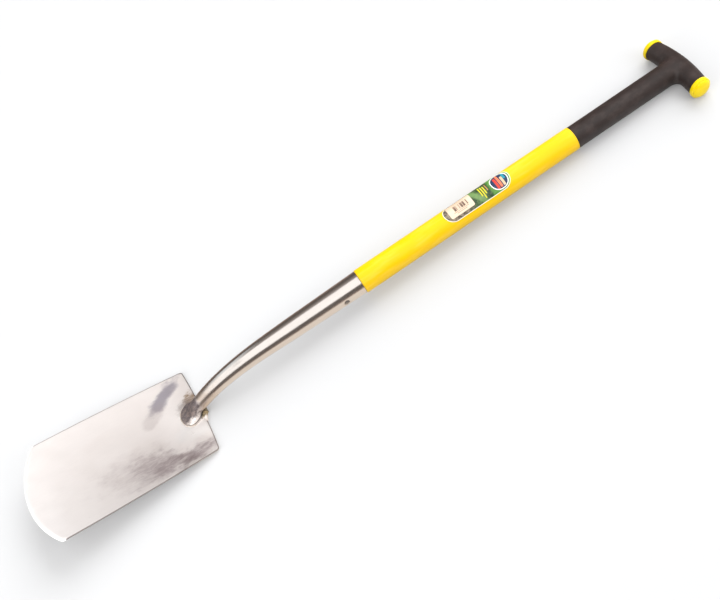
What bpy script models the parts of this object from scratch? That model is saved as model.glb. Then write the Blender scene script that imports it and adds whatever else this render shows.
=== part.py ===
"""A long-handled digging spade, lying on its back.

Every piece is modelled in the shaft's own frame and then laid on the ground by one empty. In the shaft's frame
X runs up the shaft from the mouth of the neck, the blade lies toward -X, Y runs across the blade and +Z is the
side that the blade's front faces. All sizes are in metres.
"""

import bmesh
import bpy
import math
import numpy as np
from mathutils import Vector

# Clearances
fit_gap = 0.0003            # left between any two pieces that touch
rivet_clearance = 0.0003    # round the rivet's shank

# Shaft
shaft_diameter = 0.0380     # yellow jacket where it meets the neck
shaft_end_diameter = 0.0362  # yellow jacket where it meets the grip
jacket_length = 0.3725      # yellow length that shows
tenon_length = 0.0980       # reduced end inside the neck
core_diameter = 0.0230      # fibreglass tube
core_wall = 0.0030
core_in_grip = 0.1680       # length of the tube inside the grip
lower_plug_length = 0.0820
upper_plug_length = 0.0400
edge_round = 0.0006         # rounding of the jacket's and the neck's rims

# Neck
neck_mouth_diameter = 0.0361
neck_knee_diameter = 0.0322  # where the straight part ends
neck_foot_diameter = 0.0225  # just above the blade
neck_wall = 0.0015
neck_straight = 0.1240
neck_bend_length = 0.1750
neck_drop = 0.0273          # how far the foot lies below the shaft's axis
neck_foot_angle = math.radians(26.9)
neck_hollow_stop = 0.0350   # solid length above the foot, where the tube is pressed together
tongue_length = 0.0300      # of the flattened foot on the blade's face
tongue_width = 0.0360
tongue_thickness = 0.0040
foot_bury = 0.0040          # how far the tube's underside is pressed down at the blade's top edge

# Rivet through the neck's mouth
rivet_place = 0.0330        # below the neck's rim
rivet_diameter = 0.0040
rivet_head_diameter = 0.0064
rivet_head_height = 0.0013

# Blade
blade_pitch = math.radians(9.77)  # the tip rises toward the shaft's line
blade_thickness = 0.0020
blade_width_top = 0.1551
blade_width_tip = 0.1720
blade_side_length = 0.2470
edge_sagitta = 0.0308       # of the rounded cutting edge
side_bow = 0.0016           # of the blade's long sides
top_arch = 0.0028           # of the tread edge
top_corner_radius = 0.0045
tip_corner_radius = 0.0070
dish_top = 0.0025           # depth across the blade at its top edge
dish_deep = 0.0075          # at its deepest
dish_tip = 0.0050           # at the cutting edge
dish_deep_at = 0.0700       # from the top edge
bevel_width = 0.0035        # ground along the cutting edge
edge_thickness = 0.0005

# Welds
weld_width = 0.0020
weld_height = 0.0010
back_weld_length = 0.0480   # along the tread edge
back_weld_reach = 0.0060    # behind the tread edge, under the tube
back_weld_climb = 0.0080    # up the tube's sides
back_weld_wing = 0.0065     # onto the blade's face, beside the tube

# Grip
sleeve_diameter = 0.0349
grip_length = 0.2032        # from the jacket's end to the top of the T
arm_half_length = 0.0493    # from the shaft's axis to the rim of a cap
arm_end_diameter = 0.0296
arm_middle_depth = 0.0321   # along the shaft, in the middle of the T
arm_rise = 0.0052           # the T's far side is arched by this much
arm_swell = 0.0012          # the T is thicker by this much in the middle
front_blend = 0.0050        # between the sleeve and the arms, on the front
back_blend = 0.0130         # the same on the back
back_pad = 0.0153           # distance of the flat pad on the back from the shaft's axis
pad_length = 0.0450         # from the top of the T
pad_run_out = 0.06          # rise of the back beyond the pad, until the sleeve is round
skin_thickness = 0.0018
cap_diameter = 0.0322
cap_band = 0.0062
cap_dome = 0.0050
cap_round = 0.0020
spigot_diameter = 0.0190
spigot_length = 0.0110

# Label
label_length = 0.1122
label_start = 0.1500        # from the neck's rim
label_width = 0.0320
label_turn = math.radians(7.0)   # of its middle line, from the front toward -Y
label_thickness = 0.0003
barcode_length = 0.0400
barcode_width = 0.0225
barcode_offset = 0.0012     # from the label's middle line, toward +Y
barcode_inset = 0.0080      # from the label's lower end
barcode_thickness = 0.0003

# Fineness of the surfaces
round_segments = 40
neck_segments = 28
arm_segments = 24

# Values that follow from those above
shaft_radius = shaft_diameter / 2
core_radius = core_diameter / 2
core_bore = core_radius - core_wall
core_top = jacket_length + core_in_grip
core_bottom = -tenon_length
grip_bottom = jacket_length + fit_gap
grip_top = jacket_length + grip_length
arm_end_radius = arm_end_diameter / 2
arm_under = grip_top - arm_middle_depth
arm_end_middle = grip_top - arm_rise - arm_end_radius
sleeve_radius = sleeve_diameter / 2
blade_half_top = blade_width_top / 2
blade_half_tip = blade_width_tip / 2
edge_radius = (blade_half_tip ** 2 + edge_sagitta ** 2) / (2 * edge_sagitta)
foot_tilt = neck_foot_angle + blade_pitch
foot_radius = neck_foot_diameter / 2
foot_height = foot_radius / math.cos(foot_tilt) - foot_bury
foot_point = Vector((-(neck_straight + neck_bend_length), 0.0, -neck_drop))
blade_along = Vector((-math.cos(blade_pitch), 0.0, math.sin(blade_pitch)))
blade_normal = Vector((math.sin(blade_pitch), 0.0, math.cos(blade_pitch)))
blade_origin = foot_point - blade_normal * foot_height


def smooth(x):
    """0 to 1 with level ends."""
    x = min(max(x, 0.0), 1.0)
    return x * x * (3 - 2 * x)


# Scene and objects

def clear_scene():
    for thing in list(bpy.data.objects):
        bpy.data.objects.remove(thing, do_unlink=True)


def material(name, colour, roughness, metallic=0.0):
    made = bpy.data.materials.new(name)
    made.use_nodes = True
    shader = made.node_tree.nodes["Principled BSDF"]
    shader.inputs["Base Color"].default_value = (*colour, 1.0)
    shader.inputs["Roughness"].default_value = roughness
    shader.inputs["Metallic"].default_value = metallic
    return made


def to_object(name, bm, surface, laid, sharp=35.0):
    """Turns a bmesh into an object that rides on the empty, shaded smooth but for its sharp edges."""
    bmesh.ops.recalc_face_normals(bm, faces=bm.faces)
    mesh = bpy.data.meshes.new(name)
    bm.to_mesh(mesh)
    bm.free()
    mesh.materials.append(surface)
    mesh.shade_smooth()
    mesh.set_sharp_from_angle(angle=math.radians(sharp))
    made = bpy.data.objects.new(name, mesh)
    bpy.context.collection.objects.link(made)
    made.parent = laid
    return made


def cutter(name, bm, laid):
    made = to_object(name, bm, cutter_surface, laid)
    made.hide_render = True
    made.display_type = "WIRE"
    return made


def cut(target, tool):
    step = target.modifiers.new("cut " + tool.name, "BOOLEAN")
    step.operation = "DIFFERENCE"
    step.solver = "EXACT"
    step.object = tool


# Builders shared by several pieces

def turned(profile, segments=round_segments):
    """Spins a closed outline of (along X, radius) points round the X axis. Points on the axis close the body."""
    bm = bmesh.new()
    points = [bm.verts.new((x, 0.0, radius)) for x, radius in profile]
    edges = [bm.edges.new((a, b)) for a, b in zip(points, points[1:])]
    if profile[0][1] > 1e-9:
        edges.append(bm.edges.new((points[-1], points[0])))
    bmesh.ops.spin(bm, geom=points + edges, cent=(0, 0, 0), axis=(1, 0, 0), angle=2 * math.pi, steps=segments)
    bmesh.ops.remove_doubles(bm, verts=bm.verts, dist=1e-7)
    bmesh.ops.dissolve_degenerate(bm, edges=bm.edges, dist=1e-8)
    return bm


def skin(bm, rings, closed=True):
    """Faces between rings of vertices that have equally many points each."""
    count = len(rings[0])
    for low, high in zip(rings, rings[1:]):
        for i in range(count if closed else count - 1):
            j = (i + 1) % count
            bm.faces.new((low[i], low[j], high[j], high[i]))


def grid_sheet(points):
    """A sheet of quads from rows of points."""
    bm = bmesh.new()
    rows = [[bm.verts.new(p) for p in row] for row in points]
    skin(bm, rows, closed=False)
    return bm


def thicken(target, thickness, offset, group=None, least=1.0):
    step = target.modifiers.new("thickness", "SOLIDIFY")
    step.thickness = thickness
    step.offset = offset
    step.use_even_offset = True
    if group:
        step.vertex_group = group
        step.thickness_vertex_group = least


def rounded(x, radius, end):
    """Three points that round a turned piece's edge at x. `end` is -1 or +1 for the side that the edge faces."""
    turn = edge_round * (1 - math.sqrt(0.5))
    return [(x, radius - edge_round), (x - end * turn, radius - turn), (x - end * edge_round, radius)]


# Shape of the neck

def neck_axis(x):
    """Height of the neck's centreline and its slope, x metres below the rim."""
    run = x - neck_straight
    if run <= 0:
        return 0.0, 0.0
    slope = math.tan(neck_foot_angle)
    square = 3 * neck_drop / neck_bend_length ** 2 - slope / neck_bend_length
    cube = slope / neck_bend_length ** 2 - 2 * neck_drop / neck_bend_length ** 3
    height = square * run ** 2 + cube * run ** 3
    return -height, 2 * square * run + 3 * cube * run ** 2


def neck_radius(x):
    """Outer radius x metres below the rim."""
    if x <= neck_straight:
        share = x / neck_straight
        return (neck_mouth_diameter * (1 - share) + neck_knee_diameter * share) / 2
    share = (x - neck_straight) / neck_bend_length
    return (neck_knee_diameter * (1 - share) + neck_foot_diameter * share) / 2


# Shape of the blade, in its own coordinates: u runs from the top edge to the tip, y across, h along its normal

def blade_point(u, y, h):
    return blade_origin + blade_along * u + blade_normal * h + Vector((0.0, y, 0.0))


def blade_half(u):
    share = u / blade_side_length
    bow = side_bow * 4 * share * (1 - share)
    return blade_half_top + (blade_half_tip - blade_half_top) * share + bow


def blade_dish(u):
    rise = dish_top + (dish_deep - dish_top) * smooth(u / dish_deep_at)
    rest = blade_side_length + edge_sagitta - dish_deep_at
    return rise - (dish_deep - dish_tip) * smooth((u - dish_deep_at) / rest)


def blade_back(u, y):
    """Height of the blade's back face. The corners of the front face are at height 0."""
    return -blade_thickness - blade_dish(u) * (1 - (y / blade_half(u)) ** 2)


def blade_front(u, y):
    slope = 2 * blade_dish(u) * y / blade_half(u) ** 2
    return blade_back(u, y) + blade_thickness * math.sqrt(1 + slope * slope)


def top_edge(y):
    """u of the top edge, with its rounded corners."""
    arch = -top_arch * (1 - (y / blade_half_top) ** 2)
    over = abs(y) - (blade_half_top - top_corner_radius)
    if over <= 0:
        return arch
    return arch + top_corner_radius - math.sqrt(max(top_corner_radius ** 2 - over ** 2, 0.0))


def tip_edge(y):
    """u of the cutting edge, with its rounded corners."""
    centre = blade_side_length + edge_sagitta - edge_radius
    across = blade_half_tip - tip_corner_radius
    small = centre + math.sqrt((edge_radius - tip_corner_radius) ** 2 - across ** 2)
    touch = across * edge_radius / (edge_radius - tip_corner_radius)
    if abs(y) <= touch:
        return centre + math.sqrt(edge_radius ** 2 - y * y)
    return small + math.sqrt(max(tip_corner_radius ** 2 - (abs(y) - across) ** 2, 0.0))


def blade_stations():
    """Places across the blade as shares of its half width, closer together at the rounded corners."""
    inner = 1 - tip_corner_radius / blade_half_tip
    half = [inner * i / 7 for i in range(8)]
    half += [inner + (1 - inner) * math.sin(math.pi / 2 * i / 4) for i in range(1, 5)]
    return [-t for t in reversed(half[1:])] + half


def make_blade(laid):
    rows = 13
    sheet = []
    for row in range(rows + 2):
        line = []
        for t in blade_stations():
            low = Vector((top_edge(t * blade_half_top), t * blade_half_top))
            high = Vector((tip_edge(t * blade_half_tip), t * blade_half_tip))
            length = (high - low).length
            share = row / rows * (1 - bevel_width / length) if row <= rows else 1.0
            u, y = low.lerp(high, share)
            y += t * side_bow * 4 * share * (1 - share)
            line.append(blade_point(u, y, blade_back(u, y)))
        sheet.append(line)
    blade = to_object("blade", grid_sheet(sheet), stainless, laid)
    ground = blade.vertex_groups.new(name="full thickness")
    columns = len(sheet[0])
    ground.add(list(range(columns * (rows + 1))), 1.0, "REPLACE")
    turn_up(blade)
    thicken(blade, blade_thickness, 1.0, ground.name, edge_thickness / blade_thickness)
    return blade


def turn_up(sheet):
    """Turns an open sheet's faces toward +Z, so that thickness is added on the front."""
    sheet.data.update()
    if sum(face.normal.z * face.area for face in sheet.data.polygons) < 0:
        sheet.data.flip_normals()


# Neck

def neck_ring(bm, x, radius):
    """A round section x metres below the rim, square to the centreline."""
    height, slope = neck_axis(x)
    tilt = math.atan(slope)
    up = Vector((-math.sin(tilt), 0.0, math.cos(tilt)))
    centre = Vector((-x, 0.0, height))
    ring = []
    for i in range(neck_segments):
        angle = 2 * math.pi * i / neck_segments
        side = Vector((0.0, math.cos(angle) * radius, 0.0))
        ring.append(bm.verts.new(pressed(centre + side + up * math.sin(angle) * radius, angle)))
    return ring


def pressed(point, angle):
    """Draws the tube's underside down onto the blade's face past the top edge."""
    local = point - blade_origin
    u = local.dot(blade_along)
    h = local.dot(blade_normal)
    floor = blade_front(max(u, top_edge(point.y)), point.y) + fit_gap
    pull = smooth((u + 0.001) / 0.006) * max(-math.sin(angle), 0.0) ** 0.7
    h = max(h + pull * min(floor - h, 0.0), floor) if u > top_edge(point.y) - 0.012 else h
    return blade_point(u, point.y, h)


def foot_outline(u):
    """Half width of the flattened foot on the blade."""
    wide = foot_radius + (tongue_width / 2 - foot_radius) * smooth(u / (tongue_length * 0.5))
    nose = tongue_length * 0.55
    if u <= nose:
        return wide
    return wide * math.sqrt(max(1 - ((u - nose) / (tongue_length - nose)) ** 2, 0.0))


def foot_ring(bm, u):
    """A section of the foot: round at the blade's top edge, flat by three quarters of the tongue."""
    flat_at = tongue_length * 0.73
    share = max(1 - u / flat_at, 0.0)
    low = tongue_thickness / 2
    start = foot_height - blade_front(0.0, 0.0)
    power = math.tan(foot_tilt) * flat_at / (start - low)
    lift = low + (start - low) * share ** power
    tall = low + (foot_radius - low) * share ** 1.2
    nose = max((u - flat_at) / (tongue_length - flat_at), 0.0)
    tall *= math.sqrt(max(1 - 0.75 * nose ** 2, 0.0))
    tilt = math.atan(math.tan(foot_tilt) * share ** (power - 1)) if share > 0 else 0.0
    wide = max(foot_outline(u), 0.0012)
    square = 1 - 0.35 * (1 - share)
    centre_h = blade_front(u, 0.0) + lift
    ring = []
    for i in range(neck_segments):
        angle = 2 * math.pi * i / neck_segments
        rise = math.copysign(abs(math.sin(angle)) ** square, math.sin(angle)) * tall
        y = math.cos(angle) * wide
        at_u = u + rise * math.sin(tilt)
        sag = blade_front(at_u, y) - blade_front(at_u, 0.0)
        at_h = centre_h + rise * math.cos(tilt) + sag * (1 - share)
        ring.append(bm.verts.new(pressed(blade_point(at_u, y, at_h), angle)))
    return ring


def make_neck(laid):
    bm = bmesh.new()
    length = neck_straight + neck_bend_length
    outer = [neck_ring(bm, fit_gap, neck_radius(0.0) - edge_round)]
    outer.append(neck_ring(bm, fit_gap + edge_round, neck_radius(edge_round)))
    stops = [neck_straight / 2, neck_straight]
    stops += [neck_straight + neck_bend_length * i / 11 for i in range(1, 12)]
    outer += [neck_ring(bm, x, neck_radius(x)) for x in stops]
    foot = [0.12, 0.25, 0.38, 0.50, 0.62, 0.73, 0.83, 0.91, 0.97, 1.0]
    outer += [foot_ring(bm, tongue_length * share) for share in foot]
    skin(bm, outer)
    bm.faces.new(outer[-1])
    inner = [neck_ring(bm, fit_gap, neck_radius(0.0) - neck_wall)]
    deep = length - neck_hollow_stop
    stops = [x for x in stops if x < deep - 0.005] + [deep]
    inner += [neck_ring(bm, x, neck_radius(x) - neck_wall) for x in stops]
    inner.append(neck_ring(bm, deep + 0.006, (neck_radius(deep) - neck_wall) * 0.6))
    skin(bm, inner)
    bm.faces.new(inner[-1])
    skin(bm, [outer[0], inner[0]])
    return to_object("neck_tube", bm, stainless_tube, laid)


# Welds

def make_front_weld(laid):
    """A low bead on the blade's face, round the foot's outline."""
    bm = bmesh.new()
    away = weld_width / 2 + fit_gap * 1.5
    path = []
    steps = 14
    start = back_weld_wing + weld_width / 2
    for i in range(steps + 1):
        u = start + (tongue_length - start) * math.sin(math.pi / 2 * i / steps)
        path.append(Vector((u, foot_outline(u))))
    path += [Vector((p.x, -p.y)) for p in reversed(path[:-1])]
    rings = []
    for i, place in enumerate(path):
        ahead = (path[min(i + 1, len(path) - 1)] - path[max(i - 1, 0)]).normalized()
        out = Vector((ahead.y, -ahead.x))
        if out.dot(place - Vector((tongue_length * 0.4, 0.0))) < 0:
            out = -out
        middle = place + out * away
        end = min(i, len(path) - 1 - i) / 2
        size = 0.45 + 0.55 * smooth(end)
        ring = []
        for k in range(8):
            angle = math.pi * k / 7
            spot = middle + out * math.cos(angle) * weld_width / 2 * size
            rise = math.sin(angle) * weld_height * size
            h = blade_front(spot.x, spot.y) + fit_gap + rise
            ring.append(bm.verts.new(blade_point(spot.x, spot.y, h)))
        rings.append(ring)
    skin(bm, rings)
    bm.faces.new(rings[0])
    bm.faces.new(rings[-1])
    return to_object("weld_front", bm, weld_surface, laid, sharp=60.0)


def under_tube(u, y):
    """Height of the tube's underside above the corners' plane, or None beside the tube."""
    radius = foot_radius + fit_gap * 3
    if abs(y) >= radius:
        return None
    axis = foot_height - u * math.tan(foot_tilt)
    return axis - math.sqrt(radius ** 2 - y ** 2) / math.cos(foot_tilt)


def slab(low, high, kept):
    """A closed body between two grids of points, of those cells alone that kept(row, column) names."""
    bm = bmesh.new()
    verts = {}

    def vert(layer, i, j):
        key = (layer, i, j)
        if key not in verts:
            verts[key] = bm.verts.new((low, high)[layer][i][j])
        return verts[key]

    cells = [(i, j) for i in range(len(low) - 1) for j in range(len(low[0]) - 1) if kept(i, j)]
    for i, j in cells:
        corners = [(i, j), (i + 1, j), (i + 1, j + 1), (i, j + 1)]
        for layer in (0, 1):
            bm.faces.new([vert(layer, *corner) for corner in corners])
        beside = [(i, j - 1), (i + 1, j), (i, j + 1), (i - 1, j)]
        for cell, a, b in zip(beside, corners, corners[1:] + corners[:1]):
            if cell not in cells:
                bm.faces.new([vert(0, *a), vert(0, *b), vert(1, *b), vert(1, *a)])
    return bm


def make_back_weld(laid):
    """A hollow fillet in the corner between the tread edge and the tube, with a wing on the blade at either side."""
    side = foot_radius + fit_gap * 2
    run = back_weld_length / 2 - side
    shares = (0.0, 0.10, 0.24, 0.42, 0.66, 1.0)
    under = (-0.93, -0.70, -0.35, 0.0, 0.35, 0.70, 0.93)
    columns = [(-1, k) for k in reversed(shares)] + [(0, c) for c in under] + [(1, k) for k in shares]
    rows = [("on", 1.0), ("on", 0.6), ("on", 0.25), ("edge", fit_gap), ("back", 0.0)]
    rows += [("back", share) for share in (0.35, 0.70, 1.0)]
    low = []
    high = []
    for where, step in rows:
        low.append([])
        high.append([])
        for wing, share in columns:
            past = share if wing else 0.0
            hollow = 1 - math.sqrt(1 - (1 - past) ** 2)
            ahead = back_weld_wing * step if where == "on" else 0.0
            wide = max(foot_outline(ahead) + fit_gap * 2, side)
            narrow = 1 - 0.7 * ahead / back_weld_wing
            y = wing * (wide + past * run * narrow) if wing else share * side
            edge = top_edge(y)
            if where == "on":
                u = edge + ahead
                bottom = blade_front(u, y) + fit_gap
                top = bottom + 0.0004 + back_weld_climb * hollow * (1 - step) ** 1.5
            elif where == "edge":
                u = edge - step
                bottom = blade_front(edge, y) + fit_gap
                top = bottom + 0.0004 + back_weld_climb * hollow
            else:
                reach = 0.0007 + back_weld_reach * (0.15 + 0.85 * hollow) * step
                u = edge - fit_gap - reach
                bottom = blade_front(edge, y) - blade_thickness * 0.7 + reach * 0.45
                top = blade_front(edge, y) + 0.0006 + back_weld_climb * hollow * (1 - 0.5 * step * step)
                roof = under_tube(u, y)
                if roof is not None:
                    top = min(top, roof)
                top = max(top, bottom + 0.0003)
            low[-1].append(blade_point(u, y, bottom))
            high[-1].append(blade_point(u, y, top))
    first = len(shares) - 1
    last = first + len(under) + 1
    bm = slab(low, high, lambda i, j: i >= 4 or j < first or j >= last)
    return to_object("weld_back", bm, weld_surface, laid, sharp=50.0)


# Shaft

def tenon_radius(x):
    return neck_radius(x) - neck_wall - fit_gap


def make_jacket(laid):
    bore = core_radius + fit_gap
    end = shaft_end_diameter / 2
    profile = [(-tenon_length, bore), (-tenon_length, tenon_radius(tenon_length) - edge_round)]
    profile += [(-tenon_length + edge_round, tenon_radius(tenon_length - edge_round))]
    profile += [(-tenon_length * share, tenon_radius(tenon_length * share)) for share in (0.66, 0.33)]
    profile += [(0.0, tenon_radius(0.0))]
    profile += rounded(0.0, shaft_radius, -1)
    profile += list(reversed(rounded(jacket_length, end, 1)))
    profile += [(jacket_length, bore)]
    return to_object("shaft_jacket", turned(profile), yellow_plastic, laid)


def make_core(laid):
    profile = [(core_bottom, core_bore), (core_bottom, core_radius), (core_top, core_radius), (core_top, core_bore)]
    return to_object("shaft_core", turned(profile), fibreglass, laid)


def make_plug(name, start, end, laid):
    radius = core_bore - fit_gap
    bevel = radius * 0.12
    profile = [(start, 0.0), (start, radius - bevel), (start + bevel, radius)]
    profile += [(end - bevel, radius), (end, radius - bevel), (end, 0.0)]
    return to_object(name, turned(profile, 32), plug_surface, laid)


def make_foam(laid):
    start = core_bottom + lower_plug_length + fit_gap
    end = core_top - upper_plug_length - fit_gap
    radius = core_bore - fit_gap
    profile = [(start, 0.0), (start, radius), (end, radius), (end, 0.0)]
    return to_object("shaft_foam", turned(profile, 24), foam_surface, laid)


# Rivet, modelled along X and turned to lie across the neck

def make_rivet(laid):
    shank = rivet_diameter / 2
    head = rivet_head_diameter / 2
    seat = neck_radius(rivet_place) + fit_gap
    profile = []
    for side in (-1, 1):
        half = [(seat, shank), (seat, head), (seat + rivet_head_height * 0.35, head)]
        half += [(seat + rivet_head_height * 0.75, head * 0.80), (seat + rivet_head_height, head * 0.45)]
        half += [(seat + rivet_head_height, 0.0)]
        ordered = [(side * x, radius) for x, radius in half]
        profile += list(reversed(ordered)) if side < 0 else ordered
    made = to_object("socket_rivet", turned(profile, 20), rivet_steel, laid)
    made.location = (-rivet_place, 0.0, 0.0)
    made.rotation_euler = (0.0, 0.0, math.radians(90))
    return made


def make_rivet_hole(laid):
    radius = rivet_diameter / 2 + rivet_clearance
    reach = neck_mouth_diameter
    profile = [(-reach, 0.0), (-reach, radius), (reach, radius), (reach, 0.0)]
    made = cutter("rivet_hole", turned(profile, 24), laid)
    made.location = (-rivet_place, 0.0, 0.0)
    made.rotation_euler = (0.0, 0.0, math.radians(90))
    return made


# Grip: the sleeve and the arms of the T blend into one another

def arm_section(share):
    """Middle and half depth of an arm along X, where `share` runs from 0 in the middle of the T to 1 at its ends."""
    middle = grip_top - arm_middle_depth / 2
    half = arm_middle_depth / 2
    return middle + (arm_end_middle - middle) * share, half + (arm_end_radius - half) * share


def grip_depth(points):
    """Signed distance from the grip's outer surface, less than 0 inside."""
    x, y, z = points.T
    share = np.clip(y / arm_half_length, -1.0, 1.0) ** 2
    middle, half_x = arm_section(share)
    half_z = arm_end_radius + arm_swell * (1 - share)
    arm = (np.sqrt(((x - middle) / half_x) ** 2 + (z / half_z) ** 2) - 1) * (half_x + half_z) / 2
    stem_end = arm_under + (grip_top - arm_under) * 0.30
    stem = np.sqrt(np.clip(x - stem_end, 0.0, None) ** 2 + y ** 2 + z ** 2) - sleeve_radius
    turn = np.clip(0.5 - z / sleeve_diameter, 0.0, 1.0)
    blend = front_blend + (back_blend - front_blend) * turn * turn * (3 - 2 * turn)
    mix = np.clip(0.5 + 0.5 * (arm - stem) / blend, 0.0, 1.0)
    return arm * (1 - mix) + stem * mix - blend * mix * (1 - mix)


def grip_project(points, depth, axes):
    """Moves points onto the surface `depth` below the outer one. `axes` holds 0 for a direction that is kept."""
    step = 1e-5
    for _ in range(12):
        value = grip_depth(points) + depth
        slope = np.empty_like(points)
        for k in range(3):
            shift = np.zeros(3)
            shift[k] = step
            slope[:, k] = (grip_depth(points + shift) - grip_depth(points - shift)) / (2 * step)
        slope *= axes
        points = points - slope * (value / np.maximum((slope ** 2).sum(1), 0.05))[:, None]
    past = np.maximum(grip_top - pad_length - points[:, 0], 0.0)
    points[:, 2] = np.maximum(points[:, 2], depth - back_pad - past * pad_run_out)
    return points


class Grip:
    """Vertices and faces of the grip's outer surface, open at the sleeve's end and at both arms."""

    def __init__(self):
        self.points = []
        self.free = []
        self.faces = []
        arms = self.make_arms()
        loop = self.open_side(arms)
        self.make_sleeve(loop)
        self.drop_unused()
        self.relax()

    def add(self, x, y, z, free):
        self.points.append((x, y, z))
        self.free.append(free)
        return len(self.points) - 1

    def make_arms(self):
        self.columns = 18
        rings = []
        for j in range(self.columns + 1):
            t = 2 * j / self.columns - 1
            y = arm_half_length * t
            middle, half = arm_section(t * t)
            ring = []
            for i in range(arm_segments):
                angle = 2 * math.pi * i / arm_segments
                x = middle + math.cos(angle) * half
                z = math.sin(angle) * arm_end_radius
                ring.append(self.add(x, y, z, 0 < j < self.columns))
            rings.append(ring)
        self.arm_rims = [rings[0], rings[-1]]
        return rings

    def open_side(self, rings):
        """Skins the arms but for a window on the sleeve's side, and returns the window's rim in order."""
        half = arm_segments // 2
        reach = arm_segments * 5 // 24
        low_i, high_i = half - reach, half + reach
        low_j, high_j = self.columns // 2 - 3, self.columns // 2 + 3
        for j in range(self.columns):
            for i in range(arm_segments):
                if low_i <= i < high_i and low_j <= j < high_j:
                    continue
                k = (i + 1) % arm_segments
                self.faces.append((rings[j][i], rings[j][k], rings[j + 1][k], rings[j + 1][i]))
        rim = [rings[j][low_i] for j in range(low_j, high_j)]
        rim += [rings[high_j][i] for i in range(low_i, high_i)]
        rim += [rings[j][high_i] for j in range(high_j, low_j, -1)]
        rim += [rings[low_j][i] for i in range(high_i, low_i, -1)]
        return rim

    def make_sleeve(self, rim):
        angles = [math.atan2(self.points[v][2], self.points[v][1]) for v in rim]
        count = len(rim)
        turn = 2 * math.pi / count
        sense = -1 if (angles[1] - angles[0] + math.pi) % (2 * math.pi) < math.pi else 1
        offset = sum((a - sense * turn * i - angles[0] + math.pi) % (2 * math.pi) - math.pi for i, a in enumerate(angles))
        first = angles[0] + offset / count
        places = [arm_under - d for d in (0.003, 0.0075, 0.013, 0.020, 0.030)]
        shares = (0.66, 0.33, 0.0)
        places += [grip_bottom + (places[-1] - grip_bottom) * share for share in shares]
        last = rim
        for n, x in enumerate(places):
            ring = []
            for i in range(count):
                angle = first + sense * turn * i
                y = math.cos(angle) * sleeve_radius
                z = math.sin(angle) * sleeve_radius
                ring.append(self.add(x, y, z, n < 4))
            for i in range(count):
                k = (i + 1) % count
                self.faces.append((last[i], last[k], ring[k], ring[i]))
            last = ring
        self.sleeve_rim = last

    def drop_unused(self):
        """Leaves out the arms' points inside the window, which no face uses."""
        used = sorted({i for face in self.faces for i in face})
        new = {old: i for i, old in enumerate(used)}
        self.points = [self.points[i] for i in used]
        self.free = [self.free[i] for i in used]
        self.faces = [tuple(new[i] for i in face) for face in self.faces]
        self.arm_rims = [[new[i] for i in rim] for rim in self.arm_rims]
        self.sleeve_rim = [new[i] for i in self.sleeve_rim]

    def relax(self):
        """Evens out the mesh where the arms meet the sleeve, and lays every point on the surface."""
        points = np.array(self.points)
        near = [set() for _ in self.points]
        for face in self.faces:
            for a, b in zip(face, face[1:] + face[:1]):
                near[a].add(b)
                near[b].add(a)
        free = np.array(self.free) & (np.abs(points[:, 1]) < arm_half_length * 0.9)
        axes = self.kept_directions(points)
        points = grip_project(points, 0.0, axes)
        for _ in range(25):
            mean = np.array([points[list(n)].mean(axis=0) for n in near])
            points[free] += (mean - points)[free] * 0.5
            points = grip_project(points, 0.0, axes)
        self.axes = axes
        self.points = points

    def kept_directions(self, points):
        axes = np.ones_like(points)
        for rim in self.arm_rims:
            axes[rim, 1] = 0.0
        axes[self.sleeve_rim, 0] = 0.0
        return axes

    def layer(self, bm, depth):
        """One copy of the surface, moved inward by a depth."""
        moved = grip_project(self.points.copy(), depth, self.axes)
        verts = [bm.verts.new(p) for p in moved]
        for face in self.faces:
            bm.faces.new([verts[i] for i in face])
        return verts

    def rims(self):
        return self.arm_rims + [self.sleeve_rim]


def make_grip_skin(grip, laid):
    bm = bmesh.new()
    outer = grip.layer(bm, 0.0)
    inner = grip.layer(bm, skin_thickness)
    for rim in grip.rims():
        skin(bm, [[outer[i] for i in rim], [inner[i] for i in rim]])
    return to_object("grip_overmould", bm, soft_black, laid)


def make_grip_core(grip, laid):
    bm = bmesh.new()
    verts = grip.layer(bm, skin_thickness + fit_gap)
    for rim in grip.rims():
        bm.faces.new([verts[i] for i in rim])
    core = to_object("grip_core", bm, hard_black, laid)
    reach = fit_gap * 10
    socket = [(grip_bottom - reach, 0.0), (grip_bottom - reach, core_radius + fit_gap)]
    socket += [(core_top + fit_gap, core_radius + fit_gap), (core_top + fit_gap, 0.0)]
    cut(core, cutter("socket_hole", turned(socket), laid))
    for side, name in ((-1, "right"), (1, "left")):
        pocket = [(-reach, 0.0), (-reach, spigot_diameter / 2 + fit_gap)]
        pocket += [(spigot_length + fit_gap, spigot_diameter / 2 + fit_gap), (spigot_length + fit_gap, 0.0)]
        tool = cutter("pocket_" + name, turned(pocket, 28), laid)
        tool.location = cap_place(side)
        tool.rotation_euler = (0.0, 0.0, -side * math.radians(90))
        cut(core, tool)
    return core


def cap_place(side):
    return (arm_end_middle, side * arm_half_length, 0.0)


def make_cap(side, name, laid):
    """A domed cap with a spigot, modelled along X with the spigot toward +X."""
    rim = cap_diameter / 2
    lip = (arm_end_radius + rim) / 2
    face = -fit_gap
    band = face - cap_band
    profile = [(spigot_length, 0.0), (spigot_length, spigot_diameter / 2), (face, spigot_diameter / 2)]
    profile += [(face, lip), (face - cap_round * 0.4, lip + (rim - lip) * 0.7), (face - cap_round, rim)]
    profile += [(band + cap_round, rim)]
    for i in range(1, 3):
        angle = math.pi / 2 * i / 3
        profile.append((band + cap_round - math.sin(angle) * cap_round, rim - (1 - math.cos(angle)) * cap_round))
    flat = rim - cap_round
    for i in range(0, 6):
        angle = math.pi / 2 * i / 6
        profile.append((band - math.sin(angle) * cap_dome, flat * math.cos(angle)))
    profile.append((band - cap_dome, 0.0))
    made = to_object(name, turned(profile, 28), yellow_cap, laid)
    made.location = cap_place(side)
    made.rotation_euler = (0.0, 0.0, -side * math.radians(90))
    return made


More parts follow.
